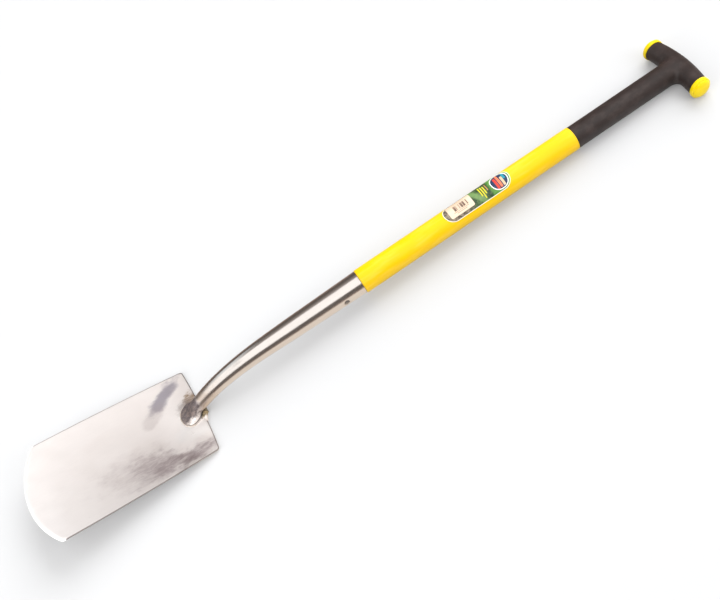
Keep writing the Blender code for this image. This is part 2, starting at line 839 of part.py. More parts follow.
# Labels, bent round the shaft

def shaft_surface(x):
    share = x / jacket_length
    return shaft_radius + (shaft_end_diameter / 2 - shaft_radius) * share


def sticker_point(x, across, lift):
    radius = shaft_surface(x) + lift
    angle = label_turn - across / shaft_surface(x)
    return Vector((x, -math.sin(angle) * radius, math.cos(angle) * radius))


def make_label(laid):
    """A long strip with round ends."""
    half = label_width / 2
    places = [half * (1 - math.cos(math.pi / 2 * i / 6)) for i in range(7)]
    places.append(label_length - half)
    places += [label_length - half * (1 - math.cos(math.pi / 2 * i / 6)) for i in range(5, -1, -1)]
    sheet = []
    for place in places:
        short = max(half - min(place, label_length - place), 0.0)
        reach = max(math.sqrt(max(half ** 2 - short ** 2, 0.0)), half * 0.03)
        row = [sticker_point(label_start + place, reach * (k / 4 - 1), fit_gap) for k in range(9)]
        sheet.append(row)
    made = to_object("label", grid_sheet(sheet), label_surface, laid)
    turn_up(made)
    thicken(made, label_thickness, 1.0)
    return made


def make_barcode(laid):
    lift = fit_gap + label_thickness + fit_gap
    corner = 0.0025
    sheet = []
    places = [corner * (1 - math.cos(math.pi / 2 * i / 3)) for i in range(4)]
    places += [barcode_length - corner * (1 - math.cos(math.pi / 2 * i / 3)) for i in range(3, -1, -1)]
    for place in places:
        short = max(corner - min(place, barcode_length - place), 0.0)
        reach = barcode_width / 2 - corner + math.sqrt(max(corner ** 2 - short ** 2, 0.0))
        x = label_start + barcode_inset + place
        sheet.append([sticker_point(x, barcode_offset + reach * (k / 3 - 1), lift) for k in range(7)])
    made = to_object("label_barcode", grid_sheet(sheet), paper_surface, laid)
    turn_up(made)
    thicken(made, barcode_thickness, 1.0)
    return made


# Lying on the ground

def all_points():
    """Every vertex of the finished pieces, in the shaft's frame."""
    bpy.context.view_layer.update()
    graph = bpy.context.evaluated_depsgraph_get()
    found = []
    for thing in bpy.context.scene.objects:
        if thing.type != "MESH" or thing.hide_render:
            continue
        ready = thing.evaluated_get(graph)
        mesh = ready.to_mesh()
        flat = np.empty(len(mesh.vertices) * 3)
        mesh.vertices.foreach_get("co", flat)
        world = np.array(ready.matrix_world)
        found.append(flat.reshape(-1, 3) @ world[:3, :3].T + world[:3, 3])
        ready.to_mesh_clear()
    return np.concatenate(found)


def lay_down(laid):
    """Tilts the whole spade until the heel of the blade and the grip both touch the ground."""
    points = all_points()
    heel = points[points[:, 0] < 0]
    hand = points[points[:, 0] > jacket_length]
    low, high = math.radians(-15), math.radians(15)
    for _ in range(50):
        tilt = (low + high) / 2
        heel_z = (heel[:, 2] * math.cos(tilt) - heel[:, 0] * math.sin(tilt)).min()
        hand_z = (hand[:, 2] * math.cos(tilt) - hand[:, 0] * math.sin(tilt)).min()
        if hand_z > heel_z:
            low = tilt
        else:
            high = tilt
    turned_x = points[:, 0] * math.cos(tilt) + points[:, 2] * math.sin(tilt)
    laid.rotation_euler = (0.0, tilt, 0.0)
    laid.location = (-(turned_x.min() + turned_x.max()) / 2, 0.0, -heel_z)
    bpy.context.view_layer.update()


def build():
    laid = bpy.data.objects.new("spade", None)
    bpy.context.collection.objects.link(laid)
    make_blade(laid)
    neck = make_neck(laid)
    make_front_weld(laid)
    make_back_weld(laid)
    jacket = make_jacket(laid)
    core = make_core(laid)
    lower = make_plug("shaft_plug_lower", core_bottom, core_bottom + lower_plug_length, laid)
    make_plug("shaft_plug_upper", core_top - upper_plug_length, core_top, laid)
    make_foam(laid)
    make_rivet(laid)
    hole = make_rivet_hole(laid)
    for drilled in (neck, jacket, core, lower):
        cut(drilled, hole)
    grip = Grip()
    make_grip_skin(grip, laid)
    make_grip_core(grip, laid)
    make_cap(-1, "grip_cap_right", laid)
    make_cap(1, "grip_cap_left", laid)
    make_label(laid)
    make_barcode(laid)
    lay_down(laid)


clear_scene()
stainless = material("stainless_blade", (0.74, 0.72, 0.71), 0.22, 1.0)
stainless_tube = material("stainless_tube", (0.66, 0.63, 0.61), 0.16, 1.0)
weld_surface = material("weld", (0.42, 0.37, 0.33), 0.45, 1.0)
rivet_steel = material("rivet_steel", (0.50, 0.48, 0.47), 0.35, 1.0)
yellow_plastic = material("yellow_jacket", (1.0, 0.78, 0.01), 0.35)
yellow_cap = material("yellow_cap", (1.0, 0.74, 0.01), 0.38)
soft_black = material("soft_black", (0.055, 0.048, 0.047), 0.70)
hard_black = material("hard_black", (0.02, 0.02, 0.02), 0.50)
fibreglass = material("fibreglass", (0.62, 0.60, 0.50), 0.45)
foam_surface = material("foam", (0.80, 0.76, 0.62), 0.95)
plug_surface = material("plug", (0.10, 0.10, 0.10), 0.60)
label_surface = material("label", (0.03, 0.22, 0.10), 0.40)
paper_surface = material("barcode_paper", (0.86, 0.80, 0.66), 0.60)
cutter_surface = material("cutter", (0.8, 0.1, 0.1), 0.50)
build()
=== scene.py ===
"""A long-handled digging spade lying on its back, finished for a studio picture.

Every piece is modelled in the shaft's own frame and then laid down as the packed solids lie. In that frame X
runs up the shaft from the neck's mouth, the blade lies toward -X and +Z is the side of the blade's front.
"""

import math

import bmesh
import bpy
import numpy as np
from bpy.props import FloatProperty, FloatVectorProperty, IntProperty, PointerProperty
from mathutils import Matrix, Vector


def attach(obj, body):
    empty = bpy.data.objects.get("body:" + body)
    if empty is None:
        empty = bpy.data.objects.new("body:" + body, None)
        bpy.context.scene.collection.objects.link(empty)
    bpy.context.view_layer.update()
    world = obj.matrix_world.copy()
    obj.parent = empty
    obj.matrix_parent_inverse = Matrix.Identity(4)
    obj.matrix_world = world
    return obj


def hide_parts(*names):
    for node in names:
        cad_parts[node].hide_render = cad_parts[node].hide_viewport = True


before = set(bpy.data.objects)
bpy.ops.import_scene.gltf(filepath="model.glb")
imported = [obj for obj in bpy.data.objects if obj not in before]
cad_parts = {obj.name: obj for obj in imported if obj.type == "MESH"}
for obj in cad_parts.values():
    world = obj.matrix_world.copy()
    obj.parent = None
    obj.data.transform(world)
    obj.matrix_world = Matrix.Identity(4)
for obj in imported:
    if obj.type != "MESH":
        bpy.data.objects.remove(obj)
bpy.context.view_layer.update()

bl_info = {
    "name": "Digging Spade",
    "version": (1, 0, 0),
    "blender": (4, 5, 0),
    "location": "3D View > Sidebar > Spade",
    "description": "Builds a long-handled digging spade piece by piece, with its studio",
    "category": "Object",
}

white = (1.0, 1.0, 1.0)
black = (0.0, 0.0, 0.0)


# Sizes and colours

def metres(name, text, value, least=0.0):
    return FloatProperty(name=name, description=text, default=value, min=least, unit="LENGTH", precision=4)


def angle(name, text, value):
    return FloatProperty(name=name, description=text, default=value, subtype="ANGLE")


def degrees(name, text, value):
    return angle(name, text, math.radians(value))


def share(name, text, value):
    return FloatProperty(name=name, description=text, default=value, min=0.0, max=1.0, subtype="FACTOR")


def level(name, text, value):
    return FloatProperty(name=name, description=text, default=value, min=0.0)


def count(name, text, value):
    return IntProperty(name=name, description=text, default=value, min=3)


def colour(name, text, value):
    limits = {"min": 0.0, "max": 1.0, "size": 3, "subtype": "COLOR"}
    return FloatVectorProperty(name=name, description=text, default=value, **limits)


class LyingSizes(bpy.types.PropertyGroup):
    """How the spade lies on the floor"""

    tilt: angle("Tilt", "Of the shaft, from level", 0.0304098541)
    along: metres("Along", "The neck's rim, along X", -0.000285622, -1.0)
    height: metres("Height", "The shaft's axis at the neck's rim, above the floor", 0.032988705)
    gap: metres("Gap", "Between pieces that touch", 0.0003)


class BladeSizes(bpy.types.PropertyGroup):
    """The blade"""

    pitch: degrees("Pitch", "The tip rises toward the shaft's line", 9.77)
    thickness: metres("Thickness", "Of the sheet", 0.0020)
    width_top: metres("Top Width", "Across the tread edge", 0.1551)
    width_tip: metres("Tip Width", "Across the cutting edge's corners", 0.1720)
    side_length: metres("Side Length", "From a top corner to a tip corner", 0.2470)
    edge_sagitta: metres("Edge Sagitta", "Of the rounded cutting edge", 0.0308)
    side_bow: metres("Side Bow", "Of the long sides", 0.0016)
    top_arch: metres("Top Arch", "Of the tread edge", 0.0028)
    top_corner: metres("Top Corner", "Radius of the top corners", 0.0045)
    tip_corner: metres("Tip Corner", "Radius of the tip corners", 0.0070)
    dish_top: metres("Dish at the Top", "Depth across the blade at the tread edge", 0.0025)
    dish_deep: metres("Deepest Dish", "Depth across the blade where it is deepest", 0.0075)
    dish_tip: metres("Dish at the Tip", "Depth across the blade at the cutting edge", 0.0050)
    dish_deep_at: metres("Deepest At", "From the tread edge", 0.0700)
    bevel_width: metres("Bevel Width", "Ground along the cutting edge", 0.0035)
    edge_thickness: metres("Edge Thickness", "Of the cutting edge", 0.0005)


class NeckSizes(bpy.types.PropertyGroup):
    """The steel neck and its foot on the blade"""

    mouth_diameter: metres("Mouth Diameter", "Outer, at the rim", 0.0361)
    knee_diameter: metres("Knee Diameter", "Outer, where the straight part ends", 0.0322)
    foot_diameter: metres("Foot Diameter", "Outer, just above the blade", 0.0225)
    wall: metres("Wall", "Thickness of the tube", 0.0015)
    straight: metres("Straight Length", "From the rim", 0.1240)
    bend_length: metres("Bend Length", "Along the shaft's line", 0.1750)
    drop: metres("Drop", "How far the foot lies below the shaft's line", 0.0273)
    foot_angle: degrees("Foot Angle", "Slope of the tube at the blade", 26.9)
    hollow_stop: metres("Hollow Stop", "Solid length above the foot", 0.0350)
    tongue_length: metres("Tongue Length", "Of the flattened foot", 0.0300)
    tongue_width: metres("Tongue Width", "Of the flattened foot", 0.0360)
    tongue_thickness: metres("Tongue Thickness", "Of the flattened foot", 0.0040)
    foot_bury: metres("Foot Bury", "How far the underside is pressed down at the tread edge", 0.0040)
    edge_round: metres("Edge Round", "Radius of the rim's edge", 0.0006)
    segments: count("Segments", "Faces round the tube", 96)


class WeldSizes(bpy.types.PropertyGroup):
    """The weld beads and the rivet"""

    width: metres("Bead Width", "Of the bead round the foot", 0.0020)
    height: metres("Bead Height", "Above the blade", 0.0010)
    ripple: metres("Ripple Pitch", "Between two ripples of a bead", 0.0014)
    back_length: metres("Back Length", "Of the fillet along the tread edge", 0.0480)
    back_reach: metres("Back Reach", "Of the fillet behind the tread edge", 0.0060)
    back_climb: metres("Back Climb", "Of the fillet up the tube's sides", 0.0080)
    back_wing: metres("Wing", "Of the fillet on the blade's face", 0.0065)
    rivet_place: metres("Rivet Place", "Below the neck's rim", 0.0330)
    rivet_diameter: metres("Rivet Diameter", "Of the shank", 0.0040)
    rivet_head: metres("Rivet Head", "Diameter of a head", 0.0064)
    rivet_rise: metres("Rivet Rise", "Height of a head", 0.0013)
    clearance: metres("Clearance", "Round the rivet's shank", 0.0003)


class ShaftSizes(bpy.types.PropertyGroup):
    """The plastic-sheathed shaft"""

    diameter: metres("Diameter", "Where it meets the neck", 0.0380)
    end_diameter: metres("End Diameter", "Where it meets the grip", 0.0362)
    jacket_length: metres("Jacket Length", "Yellow length that shows", 0.3725)
    tenon_length: metres("Tenon Length", "Reduced end inside the neck", 0.0980)
    core_diameter: metres("Core Diameter", "Of the tube inside the jacket", 0.0230)
    edge_round: metres("Edge Round", "Radius of the jacket's edges", 0.0006)
    segments: count("Segments", "Faces round the jacket", 96)


class GripSizes(bpy.types.PropertyGroup):
    """The T grip and its caps"""

    sleeve_diameter: metres("Sleeve Diameter", "Of the sleeve on the shaft", 0.0349)
    length: metres("Length", "From the jacket's end to the top of the T", 0.2032)
    arm_half: metres("Arm Half Length", "From the shaft's axis to the rim of a cap", 0.0493)
    arm_end: metres("Arm End Diameter", "At a cap", 0.0296)
    arm_middle: metres("Arm Middle Depth", "Along the shaft, in the middle of the T", 0.0321)
    arm_rise: metres("Arm Rise", "The T's far side is arched by this much", 0.0052)
    arm_swell: metres("Arm Swell", "The T is thicker by this much in the middle", 0.0012)
    front_blend: metres("Front Blend", "Between sleeve and arms on the front", 0.0050)
    back_blend: metres("Back Blend", "Between sleeve and arms on the back", 0.0130)
    back_pad: metres("Back Pad", "Distance of the flat back from the shaft's axis", 0.0153)
    pad_length: metres("Pad Length", "From the top of the T", 0.0450)
    pad_run_out: share("Pad Run-out", "Rise of the back beyond the pad", 0.06)
    skin: metres("Skin", "Thickness of the soft skin", 0.0018)
    cap_diameter: metres("Cap Diameter", "Of an end cap", 0.0322)
    cap_band: metres("Cap Band", "Straight side of a cap", 0.0062)
    cap_dome: metres("Cap Dome", "Rise of a cap's end", 0.0050)
    cap_round: metres("Cap Round", "Radius of a cap's edge", 0.0020)
    spigot_diameter: metres("Spigot Diameter", "Of a cap's plug", 0.0190)
    spigot_length: metres("Spigot Length", "Of a cap's plug", 0.0110)
    segments: count("Segments", "Faces round a cap", 72)


class LabelSizes(bpy.types.PropertyGroup):
    """The printed label and the sticker on it"""

    length: metres("Length", "Along the shaft", 0.1122)
    start: metres("Start", "From the neck's rim", 0.1500)
    width: metres("Width", "Round the shaft", 0.0320)
    turn: degrees("Turn", "Of the middle line, from the front toward -Y", 7.0)
    thickness: metres("Thickness", "Of the film", 0.0003)
    sticker_length: metres("Sticker Length", "Along the shaft", 0.0400)
    sticker_width: metres("Sticker Width", "Round the shaft", 0.0225)
    sticker_offset: metres("Sticker Offset", "From the label's middle line, toward +Y", 0.0012)
    sticker_inset: metres("Sticker Inset", "From the label's lower end", 0.0080)


class FinishColours(bpy.types.PropertyGroup):
    """The colours of the finishes"""

    blade: colour("Blade", "Satin stainless sheet", (0.99, 0.945, 0.925))
    neck: colour("Neck", "Polished stainless tube", (0.550, 0.515, 0.491))
    heat: colour("Heat Tint", "Straw-brown tint beside the weld", (0.36, 0.25, 0.16))
    # Used on the blade as the tone of the painted dark reflections on its near half.
    dull: colour("Dull", "Dull patches on the blade", (0.40, 0.33, 0.342))
    bead: colour("Bead", "Brushed weld metal round the foot", (0.66, 0.60, 0.57))
    fillet: colour("Fillet", "Weld metal behind the tread edge", (0.19, 0.15, 0.095))
    rivet: colour("Rivet", "Dull steel", (0.36, 0.33, 0.31))
    jacket: colour("Jacket", "Yellow plastic", (0.645, 0.415, 0.0))
    cap: colour("Cap", "Yellow plastic of the caps", (0.66, 0.50, 0.0))
    grip: colour("Grip", "Soft black skin", (0.0125, 0.0078, 0.0070))
    label: colour("Label", "Dark green print", (0.012, 0.034, 0.014))
    sticker: colour("Sticker", "Cream paper", (0.60, 0.50, 0.385))
    floor: colour("Floor", "Pale floor", (0.486, 0.50, 0.513))


class StudioSizes(bpy.types.PropertyGroup):
    """The floor, the lights and the camera"""

    floor_width: metres("Floor Width", "Side of the square floor", 30.0)
    floor_glow: level("Floor Glow", "Light that the floor gives off", 0.13)
    card_width: metres("Card Width", "Side of the square that the dark cards fill", 9.0)
    card_near: metres("Near Card", "Where the dark card that the steel mirrors begins, toward -Y", 0.20)
    card_far: metres("Far Card", "Where the dark card that the steel mirrors begins, toward +Y", 0.05)
    cloth_reach: metres("Cloth Reach", "How far the lit cloth reaches beyond the blade", 4.0)
    neck_card: metres("Neck Card", "Height of the lit card above the neck", 0.22)
    blade_light: level("Blade Light", "Of the lit cloth where the blade mirrors it from above", 0.64)
    box_height: metres("Softbox Height", "Above the floor", 1.50)
    box_length: metres("Softbox Length", "Along the spade", 2.80)
    box_near: metres("Softbox Near Edge", "Distance toward -Y", 1.90)
    box_far: metres("Softbox Far Edge", "Distance toward +Y", 0.50)
    box_light: level("Softbox Light", "Brightness of the overhead softbox", 1.22)
    side_distance: metres("Side Distance", "Of the softbox beyond the grip", 5.4)
    side_height: metres("Side Height", "Of the softbox beyond the grip", 2.8)
    side_width: metres("Side Width", "Of the softbox beyond the grip", 7.4)
    side_light: level("Side Light", "Brightness beyond the grip", 5.6)
    fill_distance: metres("Fill Distance", "Of the two near softboxes, along X and toward -Y", 1.8)
    fill_height: metres("Fill Height", "Of the two near softboxes", 1.1)
    fill_width: metres("Fill Width", "Of the two near softboxes", 1.9)
    fill_light: level("Fill Light", "Brightness of the near softboxes", 4.3)
    far_light: level("Far Light", "Brightness of the softbox on the blade's far side", 0.98)
    lens: level("Lens", "Focal length in millimetres", 48.0)
    elevation: degrees("Elevation", "Of the camera above the shaft's side", 53.990862)
    roll: degrees("Roll", "Of the camera", 32.599807)
    yaw: degrees("Yaw", "Of the camera round the spade", -1.891512)
    distance: metres("Distance", "Of the camera", 1.3900563)
    aim_along: metres("Aim", "Of the camera, along the shaft", -0.015078591, -1.0)
    aim_up: metres("Rise", "Of the camera", -0.021322474, -1.0)


size_groups = {
    "lying": LyingSizes,
    "blade": BladeSizes,
    "neck": NeckSizes,
    "weld": WeldSizes,
    "shaft": ShaftSizes,
    "grip": GripSizes,
    "label": LabelSizes,
    "finish": FinishColours,
    "studio": StudioSizes,
}


def sizes(group):
    return getattr(bpy.context.scene, "spade_" + group)


# Meshes and objects

def lying():
    """Takes the shaft's frame to the place where the spade lies."""
    lie = sizes("lying")
    return Matrix.Translation((lie.along, 0.0, lie.height)) @ Matrix.Rotation(lie.tilt, 4, "Y")


def smooth(x):
    """0 to 1 with level ends."""
    x = np.clip(x, 0.0, 1.0)
    return x * x * (3 - 2 * x)


def quarter(steps):
    """The angles of a quarter turn in equal steps."""
    return [math.pi / 2 * i / steps for i in range(steps + 1)]


def outlined(name, points, faces=(), edges=()):
    mesh = bpy.data.meshes.new(name)
    mesh.from_pydata([tuple(p) for p in points], edges, faces)
    return mesh


def placed(name, data):
    """A new object of the scene that holds the data."""
    made = bpy.data.objects.new(name, data)
    bpy.context.scene.collection.objects.link(made)
    return made


def spots_of(mesh):
    flat = np.empty(len(mesh.vertices) * 3)
    mesh.vertices.foreach_get("co", flat)
    return flat.reshape(-1, 3)


def move_spots(mesh, spots):
    mesh.vertices.foreach_set("co", spots.ravel())
    mesh.update()


def settle(name, mesh, finish, sharp=38.0):
    """An object from a closed mesh in the shaft's frame, laid down, its faces turned outward."""
    same_spot, no_area = 2e-7, 1e-8
    bm = bmesh.new()
    bm.from_mesh(mesh)
    bmesh.ops.remove_doubles(bm, verts=bm.verts, dist=same_spot)
    bmesh.ops.dissolve_degenerate(bm, edges=bm.edges, dist=no_area)
    bmesh.ops.recalc_face_normals(bm, faces=bm.faces)
    bm.to_mesh(mesh)
    bm.free()
    mesh.transform(lying())
    mesh.materials.clear()
    mesh.materials.append(finish)
    mesh.shade_smooth()
    mesh.set_sharp_from_angle(angle=math.radians(sharp))
    return placed(name, mesh)


def applied(thing):
    """Puts the modifiers' result in the object's mesh and takes the modifiers off."""
    bpy.context.view_layer.update()
    graph = bpy.context.evaluated_depsgraph_get()
    done = bpy.data.meshes.new_from_object(thing.evaluated_get(graph))
    thing.modifiers.clear()
    thing.data = done
    return done


def hand_over(piece, node):
    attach(piece, "root")
    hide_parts(node)


class Rings:
    """Points and faces of a body that is skinned over rings of points."""

    def __init__(self):
        self.spots = []
        self.faces = []

    def ring(self, spots):
        first = sum(len(p) for p in self.spots)
        self.spots.append(spots)
        return list(range(first, first + len(spots)))

    def skin(self, rings):
        for low, high in zip(rings, rings[1:]):
            self.faces += zip(low, low[1:] + low[:1], high[1:] + high[:1], high)


def slab_faces(cells, rows, below):
    """Faces over a grid's cells: both sides, and a wall wherever a cell has no neighbour."""
    faces = []
    for i, j in sorted(cells):
        a, d = i * rows + j, i * rows + j + 1
        b, c = a + rows, d + rows
        faces += [(a, b, c, d), (a + below, d + below, c + below, b + below)]
        sides = ((i, j - 1), a, b), ((i + 1, j), b, c), ((i, j + 1), d, c), ((i - 1, j), a, d)
        faces += [(p, q, q + below, p + below) for beside, p, q in sides if beside not in cells]
    return faces


def whole_grid(columns, rows):
    return {(i, j) for i in range(columns - 1) for j in range(rows - 1)}


def without_loose(points, faces):
    """The points that faces use, the faces on them, and where each point has gone."""
    used = sorted({k for face in faces for k in face})
    new = {old: k for k, old in enumerate(used)}
    return np.array([points[k] for k in used]), [tuple(new[k] for k in face) for face in faces], new


# Node trees

class Field:
    """A value in a node tree. Plain signs add the nodes that reckon with it."""

    def __init__(self, nodes, socket):
        self.nodes = nodes
        self.socket = socket

    def __add__(self, other):
        return self.nodes.sum("ADD", self, other)

    def __sub__(self, other):
        return self.nodes.sum("SUBTRACT", self, other)

    def __rsub__(self, other):
        return self.nodes.sum("SUBTRACT", other, self)

    def __mul__(self, other):
        return self.nodes.sum("MULTIPLY", self, other)

    def __truediv__(self, other):
        return self.nodes.sum("DIVIDE", self, other)

    def __abs__(self):
        return self.nodes.sum("ABSOLUTE", self)


class Nodes:
    """A node tree whose nodes are added in a line each."""

    def __init__(self, tree):
        self.tree = tree

    def feed(self, socket, value):
        value = value.socket if isinstance(value, Field) else value
        if isinstance(value, bpy.types.NodeSocket):
            self.tree.links.new(value, socket)
        else:
            opaque = hasattr(socket.default_value, "__len__") and len(socket.default_value) > len(value)
            socket.default_value = (*value, 1.0) if opaque else value

    def add(self, kind, inputs=None, **settings):
        node = self.tree.nodes.new(kind if kind.startswith("GeometryNode") else "ShaderNode" + kind)
        for name, value in settings.items():
            setattr(node, name, value)
        for name, value in (inputs or {}).items():
            self.feed(node.inputs[name], value)
        return node

    def field(self, kind, inputs=None, output=0, **settings):
        return Field(self, self.add(kind, inputs, **settings).outputs[output])

    def sum(self, operation, *terms):
        return self.field("Math", dict(enumerate(terms)), operation=operation)

    def axes(self, vector):
        return [Field(self, socket) for socket in self.add("SeparateXYZ", {0: vector}).outputs]

    def far(self, a, b):
        """Distance from two fields' common zero."""
        return self.sum("SQRT", self.sum("POWER", a, 2.0) + self.sum("POWER", b, 2.0))

    def spread(self, value, low, high, first=0.0, last=1.0, kind="LINEAR"):
        inputs = {"Value": value, "From Min": low, "From Max": high, "To Min": first, "To Max": last}
        return self.field("MapRange", inputs, interpolation_type=kind)

    def mix(self, part, a, b):
        return self.field("Mix", {0: part, 6: a, 7: b}, 2, data_type="RGBA")


class ShapeTree(Nodes):
    """Geometry nodes that make one kind of body from a drawn line."""

    def __init__(self, name, inputs):
        super().__init__(bpy.data.node_groups.new(name, "GeometryNodeTree"))
        sockets = self.tree.interface
        for label, kind in {"Geometry": "Geometry", **inputs, "Material": "Material"}.items():
            sockets.new_socket(label, in_out="INPUT", socket_type="NodeSocket" + kind)
        sockets.new_socket("Geometry", in_out="OUTPUT", socket_type="NodeSocketGeometry")
        self.given = self.tree.nodes.new("NodeGroupInput").outputs
        self.line = self.field("GeometryNodeMeshToCurve", {"Mesh": self.given["Geometry"]})

    def circle(self, resolution, radius):
        inputs = {"Resolution": resolution, "Radius": radius}
        return self.field("GeometryNodeCurvePrimitiveCircle", inputs, mode="RADIUS")

    def finished(self, shape):
        real = self.field("GeometryNodeRealizeInstances", {"Geometry": shape})
        inputs = {"Geometry": real, "Material": self.given["Material"]}
        painted = self.add("GeometryNodeSetMaterial", inputs)
        self.tree.links.new(painted.outputs[0], self.tree.nodes.new("NodeGroupOutput").inputs[0])
        return self.tree


def turning_tree():
    """Turns an outline, drawn as (radius, along) in its XY plane, round the Z axis."""
    name = "Turned body"
    if name in bpy.data.node_groups:
        return bpy.data.node_groups[name]
    t = ShapeTree(name, {"Segments": "Int", "Base Radius": "Float"})
    way = t.circle(t.given["Segments"], t.given["Base Radius"])
    swept = t.field("GeometryNodeCurveToMesh", {"Curve": way, "Profile Curve": t.line})
    return t.finished(t.field("GeometryNodeMergeByDistance", {"Geometry": swept, "Distance": 1e-6}))


def bead_tree():
    """A ripple-topped bead along a path."""
    numbers = ("Width", "Ripple Pitch", "Ripple", "Step", "Seed")
    t = ShapeTree("Weld bead", dict.fromkeys(numbers, "Float"))
    spacing = {"Curve": t.line, "Length": t.given["Step"]}
    dense = t.field("GeometryNodeResampleCurve", spacing, mode="LENGTH")
    turns = t.field("GeometryNodeSplineParameter", output="Length") / t.given["Ripple Pitch"]
    crest = abs(t.sum("SINE", turns * math.pi))
    uneven = {"Scale": 260.0, "Detail": 2.0, "W": t.given["Seed"]}
    patch = t.field("TexNoise", uneven, noise_dimensions="4D")
    swell = t.sum("MULTIPLY_ADD", crest + patch, t.given["Ripple"], 1.0)
    half = swell * t.given["Width"] * 0.5
    sweep = {"Curve": dense, "Profile Curve": t.circle(14, 1.0), "Scale": half, "Fill Caps": True}
    return t.finished(t.field("GeometryNodeCurveToMesh", sweep))


def grown(name, points, edges, tree, values):
    """Runs a tree on a drawn line and returns the plain mesh that it makes."""
    line = placed(name + " line", outlined(name + " line", points, edges=edges))
    step = line.modifiers.new("shape", "NODES")
    step.node_group = tree
    for item in tree.interface.items_tree:
        if item.in_out == "INPUT" and item.name in values:
            step[item.identifier] = values[item.name]
    mesh = applied(line)
    bpy.data.objects.remove(line)
    mesh.name = name
    return mesh


def turned(name, outline, segments, finish):
    """A body of revolution round X from a closed outline of (along X, radius)."""
    base = 0.001
    points = [(radius - base, along, 0.0) for along, radius in outline]
    edges = [(i, i + 1) for i in range(len(points) - 1)]
    if outline[0][1] > 1e-9:
        edges.append((len(points) - 1, 0))
    values = {"Segments": segments, "Base Radius": base, "Material": finish}
    mesh = grown(name, points, edges, turning_tree(), values)
    return upright(mesh, min(x for x, _ in outline), max(x for x, _ in outline))


def upright(mesh, low, high):
    """Takes the turned body's axis from Z to X, the right way round whichever way the sweep drew it."""
    off = 1e-5
    spots = spots_of(mesh)
    if abs(spots[:, 2].min() - low) > off or abs(spots[:, 2].max() - high) > off:
        spots[:, 2] *= -1
    move_spots(mesh, spots[:, (2, 0, 1)])
    return mesh


# The blade's surfaces: u runs from the tread edge to the tip, y across and h along the blade's normal

class BladeShape:
    def __init__(self):
        self.size = sizes("blade")
        neck = sizes("neck")
        pitch = self.size.pitch
        self.along = np.array([-math.cos(pitch), 0.0, math.sin(pitch)])
        self.normal = np.array([math.sin(pitch), 0.0, math.cos(pitch)])
        self.foot_tilt = neck.foot_angle + pitch
        self.foot_height = neck.foot_diameter / 2 / math.cos(self.foot_tilt) - neck.foot_bury
        foot = np.array([-(neck.straight + neck.bend_length), 0.0, -neck.drop])
        self.origin = foot - self.normal * self.foot_height

    def point(self, u, y, h):
        u, y, h = np.broadcast_arrays(np.asarray(u, float), y, h)
        spot = self.origin + u[..., None] * self.along + h[..., None] * self.normal
        spot[..., 1] += y
        return spot

    def local(self, spots):
        away = spots - self.origin
        return away @ self.along, spots[..., 1], away @ self.normal

    def bow(self, part):
        return self.size.side_bow * 4 * part * (1 - part)

    def half(self, u):
        s = self.size
        part = u / s.side_length
        return (s.width_top + (s.width_tip - s.width_top) * part) / 2 + self.bow(part)

    def dish(self, u):
        s = self.size
        rise = s.dish_top + (s.dish_deep - s.dish_top) * smooth(u / s.dish_deep_at)
        rest = s.side_length + s.edge_sagitta - s.dish_deep_at
        return rise - (s.dish_deep - s.dish_tip) * smooth((u - s.dish_deep_at) / rest)

    def back(self, u, y):
        return -self.size.thickness - self.dish(u) * (1 - (y / self.half(u)) ** 2)

    def front(self, u, y):
        slope = 2 * self.dish(u) * y / self.half(u) ** 2
        return self.back(u, y) + self.size.thickness * np.sqrt(1 + slope * slope)

    def top_edge(self, y):
        s = self.size
        half = s.width_top / 2
        over = np.maximum(np.abs(y) - (half - s.top_corner), 0.0)
        round_off = s.top_corner - np.sqrt(np.maximum(s.top_corner ** 2 - over ** 2, 0.0))
        return round_off - s.top_arch * (1 - (y / half) ** 2)

    def tip_edge(self, y):
        s = self.size
        half = s.width_tip / 2
        radius = (half ** 2 + s.edge_sagitta ** 2) / (2 * s.edge_sagitta)
        centre = s.side_length + s.edge_sagitta - radius
        across = half - s.tip_corner
        small = centre + math.sqrt((radius - s.tip_corner) ** 2 - across ** 2)
        touch = across * radius / (radius - s.tip_corner)
        round_off = small + np.sqrt(np.maximum(s.tip_corner ** 2 - (np.abs(y) - across) ** 2, 0.0))
        return np.where(np.abs(y) <= touch, centre + np.sqrt(radius ** 2 - y * y), round_off)


# Distances from the sheet's rim of the rows that round it
rim_rows = (0.00008, 0.0003, 0.0006, 0.0010)


def stations():
    """Places across the blade as shares of its half width, dense where the corners and the edge are round."""
    s = sizes("blade")
    flat_steps, corner_steps = 34, 12
    half = s.width_tip / 2
    inner = 1 - s.tip_corner / half
    side = list(np.linspace(0.0, inner, flat_steps))
    side += [inner + (1 - inner) * math.sin(a) for a in quarter(corner_steps)[1:-1]]
    side += [1 - d / half for d in rim_rows] + [1.0]
    side = sorted(set(round(t, 6) for t in side))
    return np.array([-t for t in reversed(side[1:])] + side)


def rows_down(length):
    """Shares of the way from the tread edge to the cutting edge, dense at both."""
    s = sizes("blade")
    top = np.array([0.0, *rim_rows, 0.0020]) / length
    tip = np.array([s.bevel_width + 0.0008, s.bevel_width, s.bevel_width / 2, 0.0004, 0.0]) / length
    middle_rows = 84
    middle = np.linspace(top[-1], 1 - tip[0], middle_rows)[1:-1]
    return np.concatenate([top, middle, 1 - tip])


def nearest(points, line):
    """Distance of each point from a line of short straight runs."""
    best = np.full(len(points), 1e9)
    for a, b in zip(line[:-1], line[1:]):
        run = b - a
        part = np.clip(((points - a) @ run) / max(run @ run, 1e-18), 0.0, 1.0)
        best = np.minimum(best, np.hypot(*(points - a - part[:, None] * run).T))
    return best


